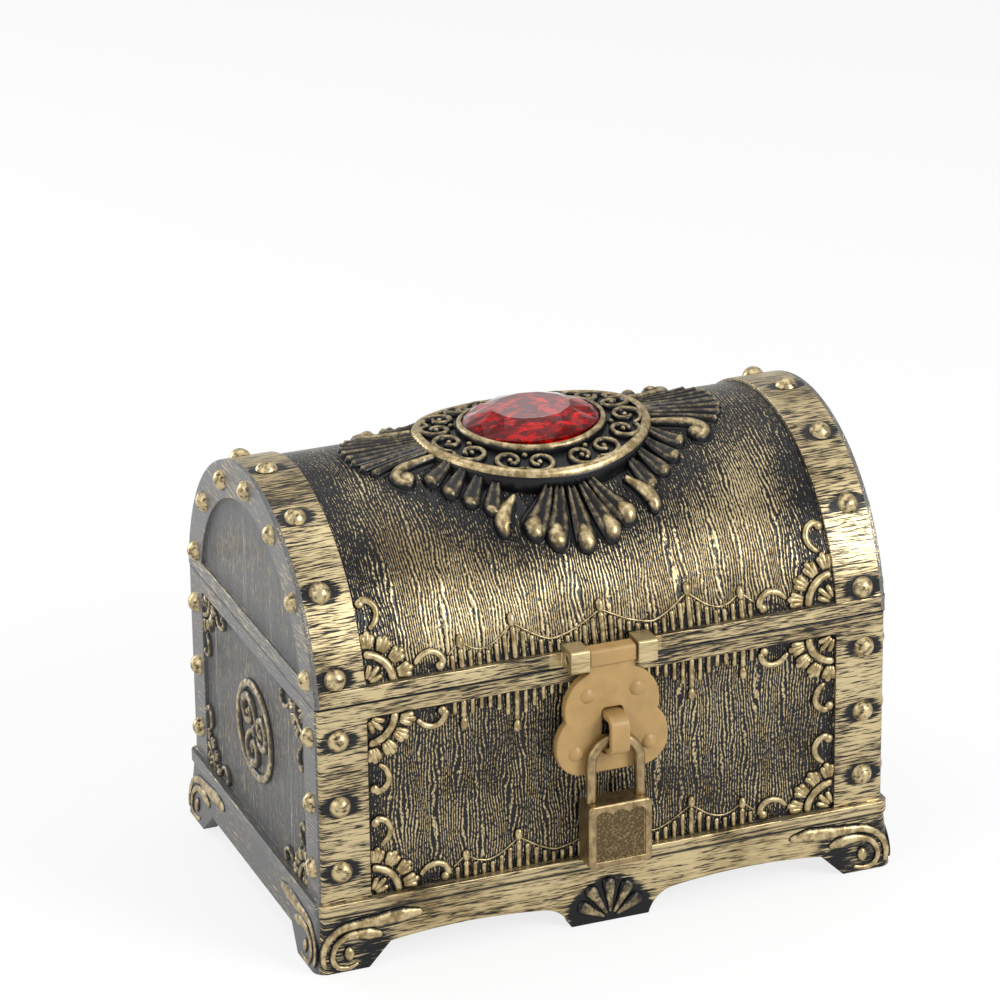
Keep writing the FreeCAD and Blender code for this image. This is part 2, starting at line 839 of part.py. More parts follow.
def make_side_rings():
    made = []
    for side, sign in (("left", -1), ("right", 1)):
        body = new_body(f"side_ring_{side}")
        face = half_length - panel_recess
        start = face if sign > 0 else -face - ring_height
        sketch = new_sketch(body, "band", "YZ_Plane", start)
        ring(sketch, 0, ring_middle, ring_radius)
        ring(sketch, 0, ring_middle, ring_radius - ring_width)
        pad(body, "band", sketch, ring_height)
        made.append(body)
    return made


def oval(name, half_x, half_y, x=0, y=0, heading=0):
    # An upright oval column, tall enough to pass right through the dome's top.
    if half_x.value < half_y.value:
        half_x, half_y, heading = half_y, half_x, heading + 90
    edge = doc.addObject("Part::Ellipse", f"{name}_edge")
    edge.setExpression("MajorRadius", half_x.text)
    edge.setExpression("MinorRadius", half_y.text)
    place(edge, x, y, dome_middle, turned((0, 0, 1), heading))
    column = doc.addObject("Part::Extrusion", name)
    column.Base = edge
    column.DirMode = "Custom"
    column.Dir = FreeCAD.Vector(0, 0, 1)
    column.Solid = True
    column.setExpression("LengthFwd", (2 * dome_radius).text)
    return column


def drum(name, radius, middle):
    return cylinder(name, radius, length, -half_length, 0, middle, ALONG_X)


def boolean(kind, name, first, second):
    item = doc.addObject(f"Part::{kind}", name)
    item.Base = first
    item.Tool = second
    return item


def fuse(name, pieces):
    item = doc.addObject("Part::MultiFuse", name)
    item.Shapes = pieces
    return item


def between(name, shape, low, high):
    # The layer of an upright column between two arched levels, each a radius and its middle.
    layer = boolean("Common", f"{name}_below_top", shape, drum(f"{name}_top", *high))
    return boolean("Cut", name, layer, drum(f"{name}_seat", *low))


def finished(item):
    item.Label = item.Name
    item.setExpression("Placement.Base.y", origin_shift.text)
    return item


def fan(name, root_x, root_y, reach, petal_half, heading, count, spread):
    # Long petals that spread from one root, like the leaves of a palmette.
    petals = []
    for number in range(count):
        angle = heading + spread * (number - (count - 1) / 2)
        x = root_x + reach / 2 * math.cos(math.radians(angle))
        y = root_y + reach / 2 * math.sin(math.radians(angle))
        petals.append(oval(f"{name}_{number}", reach / 2, petal_half, x, y, angle))
    return petals


def make_crest():
    dome = (panel_radius, dome_middle)
    field_top = (crest_arch, crest_middle)
    seat = (crest_arch + seat_clearance, crest_middle)
    field = between("crest_field", oval("crest_column", crest_half_x, crest_half_y), dome, field_top)
    petals = []
    for side in (1, -1):
        root_x = crest_half_x - fan_root
        petals += fan(f"side_fan_{side + 1}", side * root_x, as_size(0), fan_reach - root_x,
                      fan_petal, 90 - 90 * side, fan_petals, fan_angle)
        root_y = crest_half_y - palmette_root
        petals += fan(f"palmette_{side + 1}", as_size(0), side * root_y, palmette_reach - root_y,
                      palmette_petal, 90 * side, palmette_petals, palmette_angle)
        for end in (1, -1):
            name = f"horn_{side + 1}_{end + 1}"
            petals.append(oval(name, horn_long, horn_half, side * horn_x, end * horn_y,
                               side * end * horn_angle))
            petals.append(oval(f"{name}_ball", horn_ball, horn_ball, side * horn_ball_x, end * horn_ball_y))
        for quarter, angle in enumerate(lump_angles + tuple(-angle for angle in lump_angles)):
            turn = math.radians(angle)
            middle = lump_reach / 2 - lump_bury
            petals.append(oval(f"crest_lump_{side + 1}_{quarter}", lump_reach / 2, lump_half,
                               side * (crest_half_x * math.cos(turn) + middle * math.cos(turn)),
                               crest_half_y * math.sin(turn) + middle * math.sin(turn), side * angle))
    leaves = between("crest_leaves", fuse("crest_petals", petals), dome, (petal_radius, dome_middle))
    pegs = [cylinder(f"crest_peg_hole_{side + 1}", peg_radius + peg_clearance, 2 * dome_radius,
                     side * peg_half, 0, dome_middle) for side in (1, -1)]
    plate = boolean("Cut", "crest_plate", fuse("crest_whole", [field, leaves]), fuse("crest_peg_holes", pegs))

    rope = boolean("Cut", "crest_rope", oval("rope_outside", crest_half_x, crest_half_y),
                   oval("rope_inside", crest_half_x - rope_width, crest_half_y - rope_width))
    rope_top = (crest_arch + rope_thick, crest_middle)
    crest_ring = between("crest_ring", rope, seat, rope_top)

    hole_x = gem_half_x + gem_clearance
    hole_y = gem_half_y + gem_clearance
    collar = boolean("Cut", "bezel_collar", oval("bezel_outside", hole_x + bezel_width, hole_y + bezel_width),
                     oval("bezel_inside", hole_x, hole_y))
    bezel = between("gem_bezel", collar, seat, (crest_arch + bezel_height, crest_middle))
    return [finished(plate), finished(crest_ring), finished(bezel)]


def disc(name, half_u, half_v, u, v, tall, heading=0):
    # A raised oval on a face: u to the right, v up and its height outwards.
    if half_u.value < half_v.value:
        half_u, half_v, heading = half_v, half_u, heading + 90
    edge = doc.addObject("Part::Ellipse", f"{name}_edge")
    edge.setExpression("MajorRadius", half_u.text)
    edge.setExpression("MinorRadius", half_v.text)
    place(edge, u, v, 0, turned((0, 0, 1), heading))
    oval_disc = doc.addObject("Part::Extrusion", name)
    oval_disc.Base = edge
    oval_disc.DirMode = "Custom"
    oval_disc.Dir = FreeCAD.Vector(0, 0, 1)
    oval_disc.Solid = True
    oval_disc.setExpression("LengthFwd", as_size(tall).text)
    return oval_disc


def band(name, radius, width, u, v, tall, start=0, sweep=360):
    # A raised ring on a face, or a part of one from a start angle through a sweep.
    outside = cylinder(f"{name}_outside", radius, tall, u, v, 0, turned((0, 0, 1), start))
    inside = cylinder(f"{name}_inside", radius - width, tall, u, v, 0, turned((0, 0, 1), start))
    outside.Angle = sweep
    inside.Angle = sweep
    return boolean("Cut", name, outside, inside)


def bar(name, left, low, wide, high, tall):
    item = doc.addObject("Part::Box", name)
    for side, value in (("Length", wide), ("Width", high), ("Height", tall)):
        item.setExpression(side, as_size(value).text)
    place(item, left, low, 0)
    return item


def corner_rosette(name, corner_u, corner_v, sign_u, sign_v, share, tall):
    # A quarter ring in a panel's corner, a bud inside it, petals round it and a curl along each edge.
    starts = {(1, 1): 0, (-1, 1): 90, (-1, -1): 180, (1, -1): 270}
    u = corner_u + sign_u * corner_gap
    v = corner_v + sign_v * corner_gap
    made = [band(f"{name}_ring", corner_ring * share, corner_ring_width * share, u, v, tall,
                 starts[sign_u, sign_v], 90)]
    middle = (corner_ring + corner_gap + corner_reach) / 2 * share
    long_half = (corner_reach - corner_ring - corner_gap) / 2 * share
    petals = [(angle, middle, long_half, corner_petal * share) for angle in corner_angles]
    petals.append((bud_angle, corner_bud * share, bud_long * share, bud_half * share))
    for number, (angle, out, long_side, short_side) in enumerate(petals):
        turn = math.radians(angle)
        made.append(disc(f"{name}_petal_{number}", long_side, short_side,
                         u + sign_u * out * math.cos(turn), v + sign_v * out * math.sin(turn),
                         tall, angle * sign_u * sign_v))
    for number, (out, rise) in enumerate(((curl_out, curl_in), (curl_in, curl_out))):
        long_u, long_v = (curl_long, curl_half) if number == 0 else (curl_half, curl_long)
        made.append(disc(f"{name}_curl_{number}", long_u * share, long_v * share,
                         u + sign_u * out * share, v + sign_v * rise * share, tall))
    return made


def fringe(name, base, way, tall, blocked=()):
    # A row of bars that grow towards the finials on each side, left out where a fitting is in the way.
    made = []
    count = round((finial_far / bar_pitch).value) + 1
    for number in range(-count, count + 1):
        x = bar_pitch * number
        reach = abs(x.value)
        near, far = finial_near.value, finial_far.value
        if reach < near:
            share = abs(reach / near - 0.5) * 2
        else:
            share = abs((reach - near) / (far - near) - 0.5) * 2
        if blocked and (blocked[0] - bar_half).value < reach < (blocked[1] + bar_half).value:
            continue
        high = bar_short + bar_swell * min(share, 1.0) ** 2
        low = base if way > 0 else base - high
        made.append(bar(f"{name}_bar_{number + count}", x - bar_half, low, 2 * bar_half, high, tall))
    for number, x in enumerate((-finial_far, -finial_near, finial_near, finial_far)):
        top = base + way * (bar_short + bar_swell + finial_long)
        made.append(disc(f"{name}_finial_{number}", finial_half, finial_long, x, top, tall))
    return made


def on_face(label, pieces, face, out, lean=0):
    # Sets a face's carving, drawn flat, on the side of the chest that it belongs to.
    headings = {"front": 0, "left": -90, "right": 90, "back": 180}
    away = {"front": (0, -1), "left": (-1, 0), "right": (1, 0), "back": (0, 1)}[face]
    rotation = turned((0, 0, 1), headings[face]).multiply(turned((1, 0, 0), 90 - lean))
    item = doc.addObject("Part::Compound", label)
    item.Label = label
    item.Links = pieces
    place(item, away[0] * out, away[1] * out + origin_shift, 0, rotation)
    return item


def make_panel_carving():
    made = []
    for face in ("front", "back", "left", "right"):
        wide = face in ("front", "back")
        name = f"carving_{face}"
        edge = half_length - front_band if wide else half_depth - side_band
        share = as_size(1) if wide else side_shrink
        pieces = []
        for sign in (1, -1):
            for end, height, way in (("low", ledge_high, 1), ("high", panel_top, -1)):
                pieces += corner_rosette(f"{name}_{end}_{sign + 1}", sign * edge, height, -sign, way,
                                         share, carving_height)
        if wide:
            pieces += fringe(f"{name}_fringe_low", ledge_high, 1, carving_height)
            near = hinge_station + knuckle_gap / 2
            blocked = (near, near + knuckle_width) if face == "back" else ()
            pieces += fringe(f"{name}_fringe_high", panel_top, -1, carving_height, blocked)
        else:
            for number, angle in enumerate(comma_angles):
                u = comma_reach * math.cos(math.radians(angle))
                v = ring_middle + comma_reach * math.sin(math.radians(angle))
                pieces.append(band(f"{name}_comma_{number}", comma_radius, comma_width, u, v, carving_height))
            pieces.append(disc(f"{name}_bead", comma_bead, comma_bead, as_size(0), ring_middle,
                               carving_height))
        out = (half_depth if wide else half_length) - panel_recess
        made.append(on_face(name, pieces, face, out))
    return made


def make_lid_carving():
    # The same corner and fringe on the dome, cut to a layer that follows its arch
    made = []
    for face in ("front", "back"):
        name = f"lid_carving_{face}"
        edge = half_length - front_band
        near = hinge_station - knuckle_gap / 2 - knuckle_width
        blocked = (lug_near, lug_far) if face == "front" else (near, near + knuckle_width)
        pieces = fringe(f"{name}_fringe", rim_top, 1, dome_radius, blocked)
        for sign in (1, -1):
            pieces += corner_rosette(f"{name}_{sign + 1}", sign * edge, rim_top, -sign, 1,
                                     as_size(1), dome_radius)
        flat = doc.addObject("Part::Compound", f"{name}_flat")
        flat.Links = pieces
        flat.Placement = FreeCAD.Placement(FreeCAD.Vector(), turned((0, 0, 1), 0 if face == "front" else 180)
                                           .multiply(turned((1, 0, 0), 90)))
        layer = between(name, flat, (panel_radius, dome_middle), (panel_radius + carving_height, dome_middle))
        made.append(finished(layer))
    return made


def make_foot_carving():
    # A volute with an eye and a leaf on each foot, and a small palmette on the long aprons
    lean = math.degrees(math.atan((foot_out - plinth_out).value / ledge_low.value))
    made = []
    for face in ("front", "back", "left", "right"):
        wide = face in ("front", "back")
        name = f"foot_carving_{face}"
        edge = half_length if wide else half_depth
        pieces = []
        for sign in (1, -1):
            u = sign * (edge + foot_out - volute_inset)
            part = f"{name}_{sign + 1}"
            pieces.append(band(f"{part}_volute", volute_radius, volute_width, u, volute_rise, carving_height))
            pieces.append(disc(f"{part}_eye", volute_eye, volute_eye, u, volute_rise, carving_height))
            pieces.append(disc(f"{part}_leaf", leaf_long, leaf_half, sign * (edge - leaf_inset), leaf_rise,
                               carving_height))
        if wide:
            for number, angle in enumerate(apron_angles):
                turn = math.radians(angle)
                pieces.append(disc(f"{name}_petal_{number}", apron_long, apron_petal,
                                   apron_middle * math.cos(turn), apron_root + apron_middle * math.sin(turn),
                                   carving_height, angle))
        out = (half_depth if wide else half_length) + foot_out
        made.append(on_face(name, pieces, face, out, lean))
    return made


def make_pins():
    hinge_span = 2 * (knuckle_width + pin_show) + knuckle_gap
    near = hinge_station - knuckle_gap / 2 - knuckle_width - pin_show
    return [
        pin("hinge_pin_right", near, hinge_span, hinge_y, seam_height),
        pin("hinge_pin_left", -near - hinge_span, hinge_span, hinge_y, seam_height),
        pin("hasp_pin", hasp_pin_inset - lug_far, 2 * (lug_far - hasp_pin_inset), lug_y, lug_z)]


pieces = [
    make_box_shell(), make_lid_shell(), make_staple(), make_hasp_plate(), make_hasp_rivets(),
    make_shackle(), make_padlock_case(), make_key_plug(), make_gem()]
pieces += make_pins() + make_box_studs() + make_lid_studs() + make_side_rings() + make_crest()
pieces += make_panel_carving() + make_lid_carving() + make_foot_carving()
doc.recompute()

failed = [item.Name for item in doc.Objects if {"Invalid", "Error"} & set(item.State)]
if failed:
    raise RuntimeError(f"objects that did not build: {failed}")
for piece in pieces:
    if piece.Shape.isNull() or not piece.Shape.isValid():
        raise RuntimeError(f"{piece.Label} has no valid shape")

os.makedirs("parts", exist_ok=True)
for piece in pieces:
    piece.Shape.exportStep(f"parts/{piece.Label}.step")
    box = piece.Shape.BoundBox
    print(f"{piece.Label}: {piece.Shape.Volume:.1f} mm3, {len(piece.Shape.Solids)} solids,",
          f"x {box.XMin:.1f} {box.XMax:.1f}, y {box.YMin:.1f} {box.YMax:.1f}, z {box.ZMin:.1f} {box.ZMax:.1f}")
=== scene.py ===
import math

import bmesh
import bpy
from mathutils import Matrix, Quaternion, Vector


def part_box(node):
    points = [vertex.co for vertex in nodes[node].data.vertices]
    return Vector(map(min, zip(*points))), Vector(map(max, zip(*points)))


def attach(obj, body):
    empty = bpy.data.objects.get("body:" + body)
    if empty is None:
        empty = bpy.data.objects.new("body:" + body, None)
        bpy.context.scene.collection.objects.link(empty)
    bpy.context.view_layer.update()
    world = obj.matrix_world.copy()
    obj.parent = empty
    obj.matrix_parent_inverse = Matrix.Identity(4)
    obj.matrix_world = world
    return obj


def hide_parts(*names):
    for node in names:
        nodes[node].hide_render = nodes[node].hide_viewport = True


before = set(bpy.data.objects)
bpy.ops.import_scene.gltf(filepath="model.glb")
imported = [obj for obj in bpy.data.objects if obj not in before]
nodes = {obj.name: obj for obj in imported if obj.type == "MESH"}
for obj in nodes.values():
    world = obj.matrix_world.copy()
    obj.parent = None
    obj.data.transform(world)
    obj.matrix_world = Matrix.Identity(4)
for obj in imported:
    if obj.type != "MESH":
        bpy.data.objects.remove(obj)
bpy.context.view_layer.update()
print("frame loaded:", len(nodes), "nodes")

# Chest sizes in millimetres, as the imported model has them
chest = {
    "halfLength": 81.5, "halfDepth": 52.0, "sink": 1.0, "seam": 76.0,
    "ledgeTop": 19.5, "ledgeLow": 16.0, "bandX": 67.2, "bandY": 41.5,
    "footOut": 2.6, "plinthOut": 0.8, "panelTop": 71.6, "rimTop": 80.5,
    "domeMiddle": 71.056, "domeRadius": 52.244, "innerRadius": 49.044,
    "crestArch": 98.0, "crestTop": 123.8, "crestX": 33.0, "crestY": 28.0,
}
midY = (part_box("box_studs_front")[0].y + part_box("box_studs_back")[1].y) * 500
panelRadius = chest["domeRadius"] - chest["sink"]
rimAngle = math.asin((chest["rimTop"] - chest["domeMiddle"]) / panelRadius)


class Wire:
    # a shader socket that takes part in sums
    def __init__(self, socket):
        self.socket = socket

    def node(self, kind, settings, sockets, out=0):
        made = self.socket.id_data.nodes.new(kind)
        for key, value in settings.items():
            setattr(made, key, value)
        for key, value in sockets.items():
            if isinstance(value, Wire):
                self.socket.id_data.links.new(value.socket, made.inputs[key])
            else:
                made.inputs[key].default_value = value
        return Wire(made.outputs[out])

    def maths(self, operation, *values):
        return self.node("ShaderNodeMath", {"operation": operation}, dict(enumerate(values)))

    def __add__(self, other):
        return self.maths("ADD", self, other)

    def __sub__(self, other):
        return self.maths("SUBTRACT", self, other)

    def __mul__(self, other):
        return self.maths("MULTIPLY", self, other)

    def __truediv__(self, other):
        return self.maths("DIVIDE", self, other)

    def __rsub__(self, other):
        return self.maths("SUBTRACT", other, self)

    def __rtruediv__(self, other):
        return self.maths("DIVIDE", other, self)

    __radd__ = __add__
    __rmul__ = __mul__

    def above(self, level):
        return self.maths("GREATER_THAN", self, level)

    def below(self, level):
        return self.maths("LESS_THAN", self, level)

    def ease(self, low, high):
        # 0 at low, 1 at high, smooth between
        return self.node("ShaderNodeMapRange", {"interpolation_type": "SMOOTHSTEP"},
                         {"Value": self, "From Min": low, "From Max": high})

    def size(self):
        return self.maths("ABSOLUTE", self)

    def squareRoot(self):
        return self.maths("SQRT", self)

    def sine(self):
        return self.maths("SINE", self)

    def bearing(self, ahead):
        # angle in degrees, from ahead round to this one
        return self.maths("ARCTAN2", self, ahead) * (180 / math.pi)

    def least(self, other):
        return self.maths("MINIMUM", self, other)

    def most(self, other):
        return self.maths("MAXIMUM", self, other)

    def fold(self, first, step):
        # distance to the nearest of a row of places
        return self.maths("PINGPONG", self - first, step / 2)

    def switch(self, off, on):
        return self.node("ShaderNodeMix", {"data_type": "FLOAT"}, {0: self, 2: off, 3: on})

    def tint(self, off, on):
        return self.node("ShaderNodeMix", {"data_type": "RGBA"}, {0: self, 6: off, 7: on}, 2)

    def cloud(self, x, y, z, detail=2.0, rough=0.55):
        spot = self.node("ShaderNodeCombineXYZ", {}, {0: x, 1: y, 2: z})
        return self.node("ShaderNodeTexNoise", {"noise_dimensions": "3D"},
                         {"Vector": spot, "Scale": 1.0, "Detail": detail, "Roughness": rough})

    def cells(self, x, y, z, scale, out):
        spot = self.node("ShaderNodeCombineXYZ", {}, {0: x, 1: y, 2: z})
        return self.node("ShaderNodeTexVoronoi", {"feature": "F1"}, {"Vector": spot, "Scale": scale}, out)


def startMaterial(name):
    # material, shader node, and the place on the piece in millimetres from the chest's middle
    material = bpy.data.materials.new(name)
    material.use_nodes = True
    shader = material.node_tree.nodes["Principled BSDF"]
    first = Wire(shader.outputs[0])
    spot = first.node("ShaderNodeTexCoord", {}, {}, "Object")
    spot = first.node("ShaderNodeVectorMath", {"operation": "MULTIPLY_ADD"},
                      {0: spot, 1: (1000, 1000, 1000), 2: (0, -midY, 0)})
    parts = [first.node("ShaderNodeSeparateXYZ", {}, {0: spot}, axis) for axis in range(3)]
    return material, shader, parts


def feed(shader, **values):
    # socket names with their gaps left out
    for socket in shader.inputs:
        key = socket.name.replace(" ", "")
        key = key[0].lower() + key[1:]
        if key in values:
            value = values[key]
            if isinstance(value, Wire):
                shader.id_data.links.new(value.socket, socket)
            else:
                socket.default_value = value


def bump(height, strength, depth):
    return height.node("ShaderNodeBump", {}, {"Strength": strength, "Distance": depth, "Height": height})


# Antique finish: black plastic with gold paint dragged over what stands up
# the two greys are painted reflection of the bright surround on the chest's sides, not colours of the plastic
paint = {
    "black": (0.006, 0.0062, 0.0078, 1), "dull": (0.15, 0.149, 0.148, 1),
    "worn": (0.05, 0.048, 0.044, 1), "gold": (0.59, 0.478, 0.27, 1),
    "oldGold": (0.27, 0.195, 0.09, 1), "blackGloss": 0.26, "goldGloss": 0.36,
    "metal": 0.8, "specular": 0.28, "bump": 0.7,
}


def antique(shader, mask, height, shade, depth, ground=paint["black"]):
    tone = shade.tint(paint["oldGold"], paint["gold"])
    feed(shader, baseColor=mask.tint(ground, tone),
         metallic=mask * paint["metal"],
         roughness=mask.switch(paint["blackGloss"], paint["goldGloss"]),
         specularIORLevel=paint["specular"], normal=bump(height, paint["bump"], depth))


# Carved boards: wavy ridges about a millimetre apart, gold only in dashes along them
boards = {
    "pitch": 0.86, "wander": 6.0, "wide": 6.0, "tall": 26.0, "dash": 0.95, "fleck": 0.42,
    "sway": 1.1, "swayWide": 2.2, "swayTall": 5, "sides": 3.5,
}


def boardGrain(u, v, w):
    # u crosses the grain; v and w run with it
    wide, tall, dash, swayTall = boards["wide"], boards["tall"], boards["dash"], boards["swayTall"]
    drift = u.cloud(u / wide, v / tall, w / tall, 1.0)
    sway = u.cloud(u / boards["swayWide"], v / swayTall, w / swayTall + 5, 1.0)
    phase = u / boards["pitch"] + drift * boards["wander"] + sway * boards["sway"]
    ridge = (phase * (2 * math.pi)).sine() * 0.5 + 0.5
    fleck = u.cloud(u / boards["fleck"], v / dash, w / dash, 2.0, 0.6)
    return ridge, fleck


streaks = {"long": 5.5, "thin": 0.36, "wave": 26.0, "waveAcross": 9, "bend": 1.2}


def bandGrain(along, across, other):
    # brushed streaks that run along the band's width
    wide, thin = streaks["waveAcross"], streaks["thin"]
    wave = along.cloud(along / streaks["wave"], across / wide, other / wide, 1.0)
    bent = across + wave * streaks["bend"]
    return along.cloud(along / streaks["long"], bent / thin, other / thin, 2.5, 0.6)


# Paint on the two shells: how much each thing helps gold to hold, ranges in which paint comes in, and how
# much grey painted reflection the sides and ends get
shells = {
    "ridge": 0.6, "fleck": 1.6, "boardWear": 0.35, "streak": 1.6, "halo": 0.4, "bandWear": 0.4,
    "bands": (1.22, 1.5), "haloReach": (2.2, 4.0), "haloSquash": 0.34, "seam": (0.2, 0.5),
    "tone": (0.36, 0.6), "bareBand": 0.8, "bareGround": 0.5, "bareRidge": 0.55, "clear": 0.02,
}


def boardHold(ridge, fleck, wear):
    return ridge * shells["ridge"] + fleck * shells["fleck"] + wear * shells["boardWear"]


def bandHold(streak, halo, wear):
    return streak * shells["streak"] + halo * shells["halo"] + wear * shells["bandWear"]


def studHalo(out, around):
    # paint stays off a ring round each stud, longer across the band
    near = (out * out * shells["haloSquash"] + around * around).squareRoot()
    return near.ease(*shells["haloReach"])


def finishShell(shader, z, side, panel, inside, boardGold, bandGold, grain, depth):
    # the inside and the seam stay black, and the ends get a grey painted reflection between the gold
    ridge, fleck, streak, wear = grain
    outside = 1 - inside
    seam = (z - chest["seam"]).size().ease(*shells["seam"])
    gold = panel.switch(bandGold, boardGold) * outside * seam
    height = panel.switch(streak * 0.5, ridge * 0.8 + fleck * 0.3) * outside
    shade = (wear * 0.5 + panel.switch(streak, fleck) * 0.5).ease(*shells["tone"])
    # grey painted reflection on the sides and ends, following the ridges on the boards
    sideSheen = panel.switch(shells["bareBand"], ridge * shells["bareRidge"] + shells["bareGround"])
    sideSheen = side * outside * seam * sideSheen
    antique(shader, gold, height, shade, depth, sideSheen.tint(paint["black"], paint["dull"]))


# Box: places in millimetres, ranges in which paint comes in, and what helps or hinders gold
boxPaint = {
    "innerX": 80.2, "innerY": 50.7, "studX": 75.3, "studY": 46.6, "studLow": 28.3, "studStep": 19.05,
    "studsFrom": 21, "studsTo": 73, "wear": 22, "border": (0.3, 6.0), "boards": (1.6, 1.88),
    "borderHold": 0.25, "sideBoards": 0.2, "sideBands": 0.26, "plinthHold": 0.1,
    "footEnd": (26, 18), "footEdge": (0.3, 1.6), "footTop": 15.2, "footBare": 0.34,
    "dropReach": (200, 110), "dropBare": 0.6,
    "ledgeLine": (0.2, 0.9), "edgeZ": 17.9, "edgeLine": (0.1, 0.4), "edgeBare": 0.6,
    "boardShift": 40, "wearShift": 9, "bandShift": 30, "depth": 0.0003,
}


def boxFinish():
    material, shader, (x, y, z) = startMaterial("antiqueBox")
    wideX, wideY = x.size(), y.size()
    side = (wideX - chest["halfLength"]).above(wideY - chest["halfDepth"])
    front = 1 - side
    u = side.switch(x, y)
    inside = wideX.below(boxPaint["innerX"]) * wideY.below(boxPaint["innerY"])
    edge = side.switch(chest["bandX"], chest["bandY"]) - u.size()
    rise = (z - chest["ledgeTop"]).least(chest["panelTop"] - z)
    reach = edge.least(rise)
    panel = reach.above(shells["clear"])

    # the shifts give the sides a grain of their own
    ridge, fleck = boardGrain(u, z / side.switch(1.0, boards["sides"]), side * boxPaint["boardShift"])
    wear = u.cloud(u / boxPaint["wear"], z / boxPaint["wear"], side * boxPaint["wearShift"] + 3, 2.0)
    border = reach.ease(*boxPaint["border"])
    boardGold = boardHold(ridge, fleck, wear) + border * boxPaint["borderHold"]
    # less gold on the sides' boards: part of the painted reflection that greys the sides
    boardGold = boardGold - side * boxPaint["sideBoards"]

    streak = bandGrain(u, z + side.switch(wideY, wideX), side * boxPaint["bandShift"] + 2)
    stud = side.switch(wideX - boxPaint["studX"], wideY - boxPaint["studY"])
    halo = studHalo(stud, z.fold(boxPaint["studLow"], boxPaint["studStep"]))
    halo = halo.most(z.below(boxPaint["studsFrom"])).most(z.above(boxPaint["studsTo"]))
    corner = side.switch(chest["halfLength"], chest["halfDepth"]) + chest["footOut"] - u.size()
    foot = corner.ease(*boxPaint["footEnd"]) * corner.ease(*boxPaint["footEdge"])
    foot = foot * z.below(boxPaint["footTop"])
    drop = (u * u + z * z).ease(*boxPaint["dropReach"]) * front
    plinth = z.below(chest["ledgeTop"]) * front
    # less gold on the sides' bands: part of the painted reflection that greys the sides
    bandGold = bandHold(streak, halo, wear) - side * boxPaint["sideBands"] + plinth * boxPaint["plinthHold"]
    bandGold = bandGold - (foot * boxPaint["footBare"]).most(drop * boxPaint["dropBare"])
    # paint misses the corner under the ledge and a line along its edge
    under = (z - chest["ledgeLow"]).size().ease(*boxPaint["ledgeLine"])
    line = (z - boxPaint["edgeZ"]).size().ease(*boxPaint["edgeLine"])
    under = under * (line * boxPaint["edgeBare"] + (1 - boxPaint["edgeBare"]))

    finishShell(shader, z, side, panel, inside, boardGold.ease(*boxPaint["boards"]),
                bandGold.ease(*shells["bands"]) * under, (ridge, fleck, streak, wear), boxPaint["depth"])
    return material


# Lid: the same, with the arch in radius and degrees
lidPaint = {
    "inner": 50.2, "innerX": 80.2, "endX": 80.3, "endPanel": 41.74, "lugY": -51.6, "lugX": 16,
    "studX": 75.3, "studRing": 46.84, "studFirst": 13.8, "studStep": 25.4, "wear": 24,
    "crestX": 52, "crestY": 37, "crestBare": (0.75, 1.75), "sideBorder": (0.3, 20),
    "topBorder": (0.3, 6), "endBorder": (0.3, 9), "boards": (1.56, 1.84),
    "borderHold": 0.46, "endBoards": 0.38, "endBands": 0.22, "lugHold": 0.5,
    "endShift": 40.0, "depth": 0.0002,
}


def lidFinish():
    material, shader, (x, y, z) = startMaterial("antiqueLid")
    wideX = x.size()
    up = z - chest["domeMiddle"]
    radius = (y * y + up * up).squareRoot()
    turn = up.bearing(y * -1.0)
    inside = radius.below(lidPaint["inner"]) * wideX.below(lidPaint["innerX"])
    end = wideX.above(lidPaint["endX"])
    overRim = z - chest["rimTop"]
    aboveRim = overRim.above(shells["clear"])
    toBand = chest["bandX"] - wideX
    endReach = (lidPaint["endPanel"] - radius).least(overRim)
    topReach = toBand.least(overRim)
    reach = end.switch(topReach, endReach)
    lug = y.below(lidPaint["lugY"]) * wideX.below(lidPaint["lugX"])
    panel = reach.above(shells["clear"]) * (1 - lug)

    u = end.switch(x, y)
    ridge, fleck = boardGrain(u, end.switch(y, lidPaint["endShift"]), z / end.switch(1.0, boards["sides"]))
    wear = u.cloud(x / lidPaint["wear"], y / lidPaint["wear"], z / lidPaint["wear"], 2.0)
    # more gold low on the dome and away from the bands, less towards the crest: partly a painted highlight,
    # partly thinner paint by the crest
    crestU, crestV = x / lidPaint["crestX"], y / lidPaint["crestY"]
    crestNear = (crestU * crestU + crestV * crestV).ease(*lidPaint["crestBare"])
    topBorder = toBand.ease(*lidPaint["sideBorder"]) * crestNear * topReach.ease(*lidPaint["topBorder"])
    border = end.switch(topBorder, endReach.ease(*lidPaint["endBorder"]))
    boardGold = boardHold(ridge, fleck, wear) + border * lidPaint["borderHold"]
    # less gold on the ends, here and on their bands below: part of the painted reflection that greys the ends
    boardGold = boardGold - end * lidPaint["endBoards"]

    streak = bandGrain(u, end.switch(y, wideX), z)
    out = end.switch(wideX - lidPaint["studX"], radius - lidPaint["studRing"])
    around = turn.fold(lidPaint["studFirst"], lidPaint["studStep"]) * (math.pi / 180)
    halo = studHalo(out, around * end.switch(chest["domeRadius"], lidPaint["studRing"])).most(1 - aboveRim)
    bandGold = bandHold(streak, halo, wear) - end * lidPaint["endBands"] + lug * lidPaint["lugHold"]

    finishShell(shader, z, end, panel, inside, boardGold.ease(*lidPaint["boards"]),
                bandGold.ease(*shells["bands"]), (ridge, fleck, streak, wear), lidPaint["depth"])
    return material


carvedPaint = {"rub": 2.2, "fineAcross": 0.35, "fineAlong": 1.2, "fine": 0.2, "tone": (0.35, 0.65),
               "depth": 0.00015}


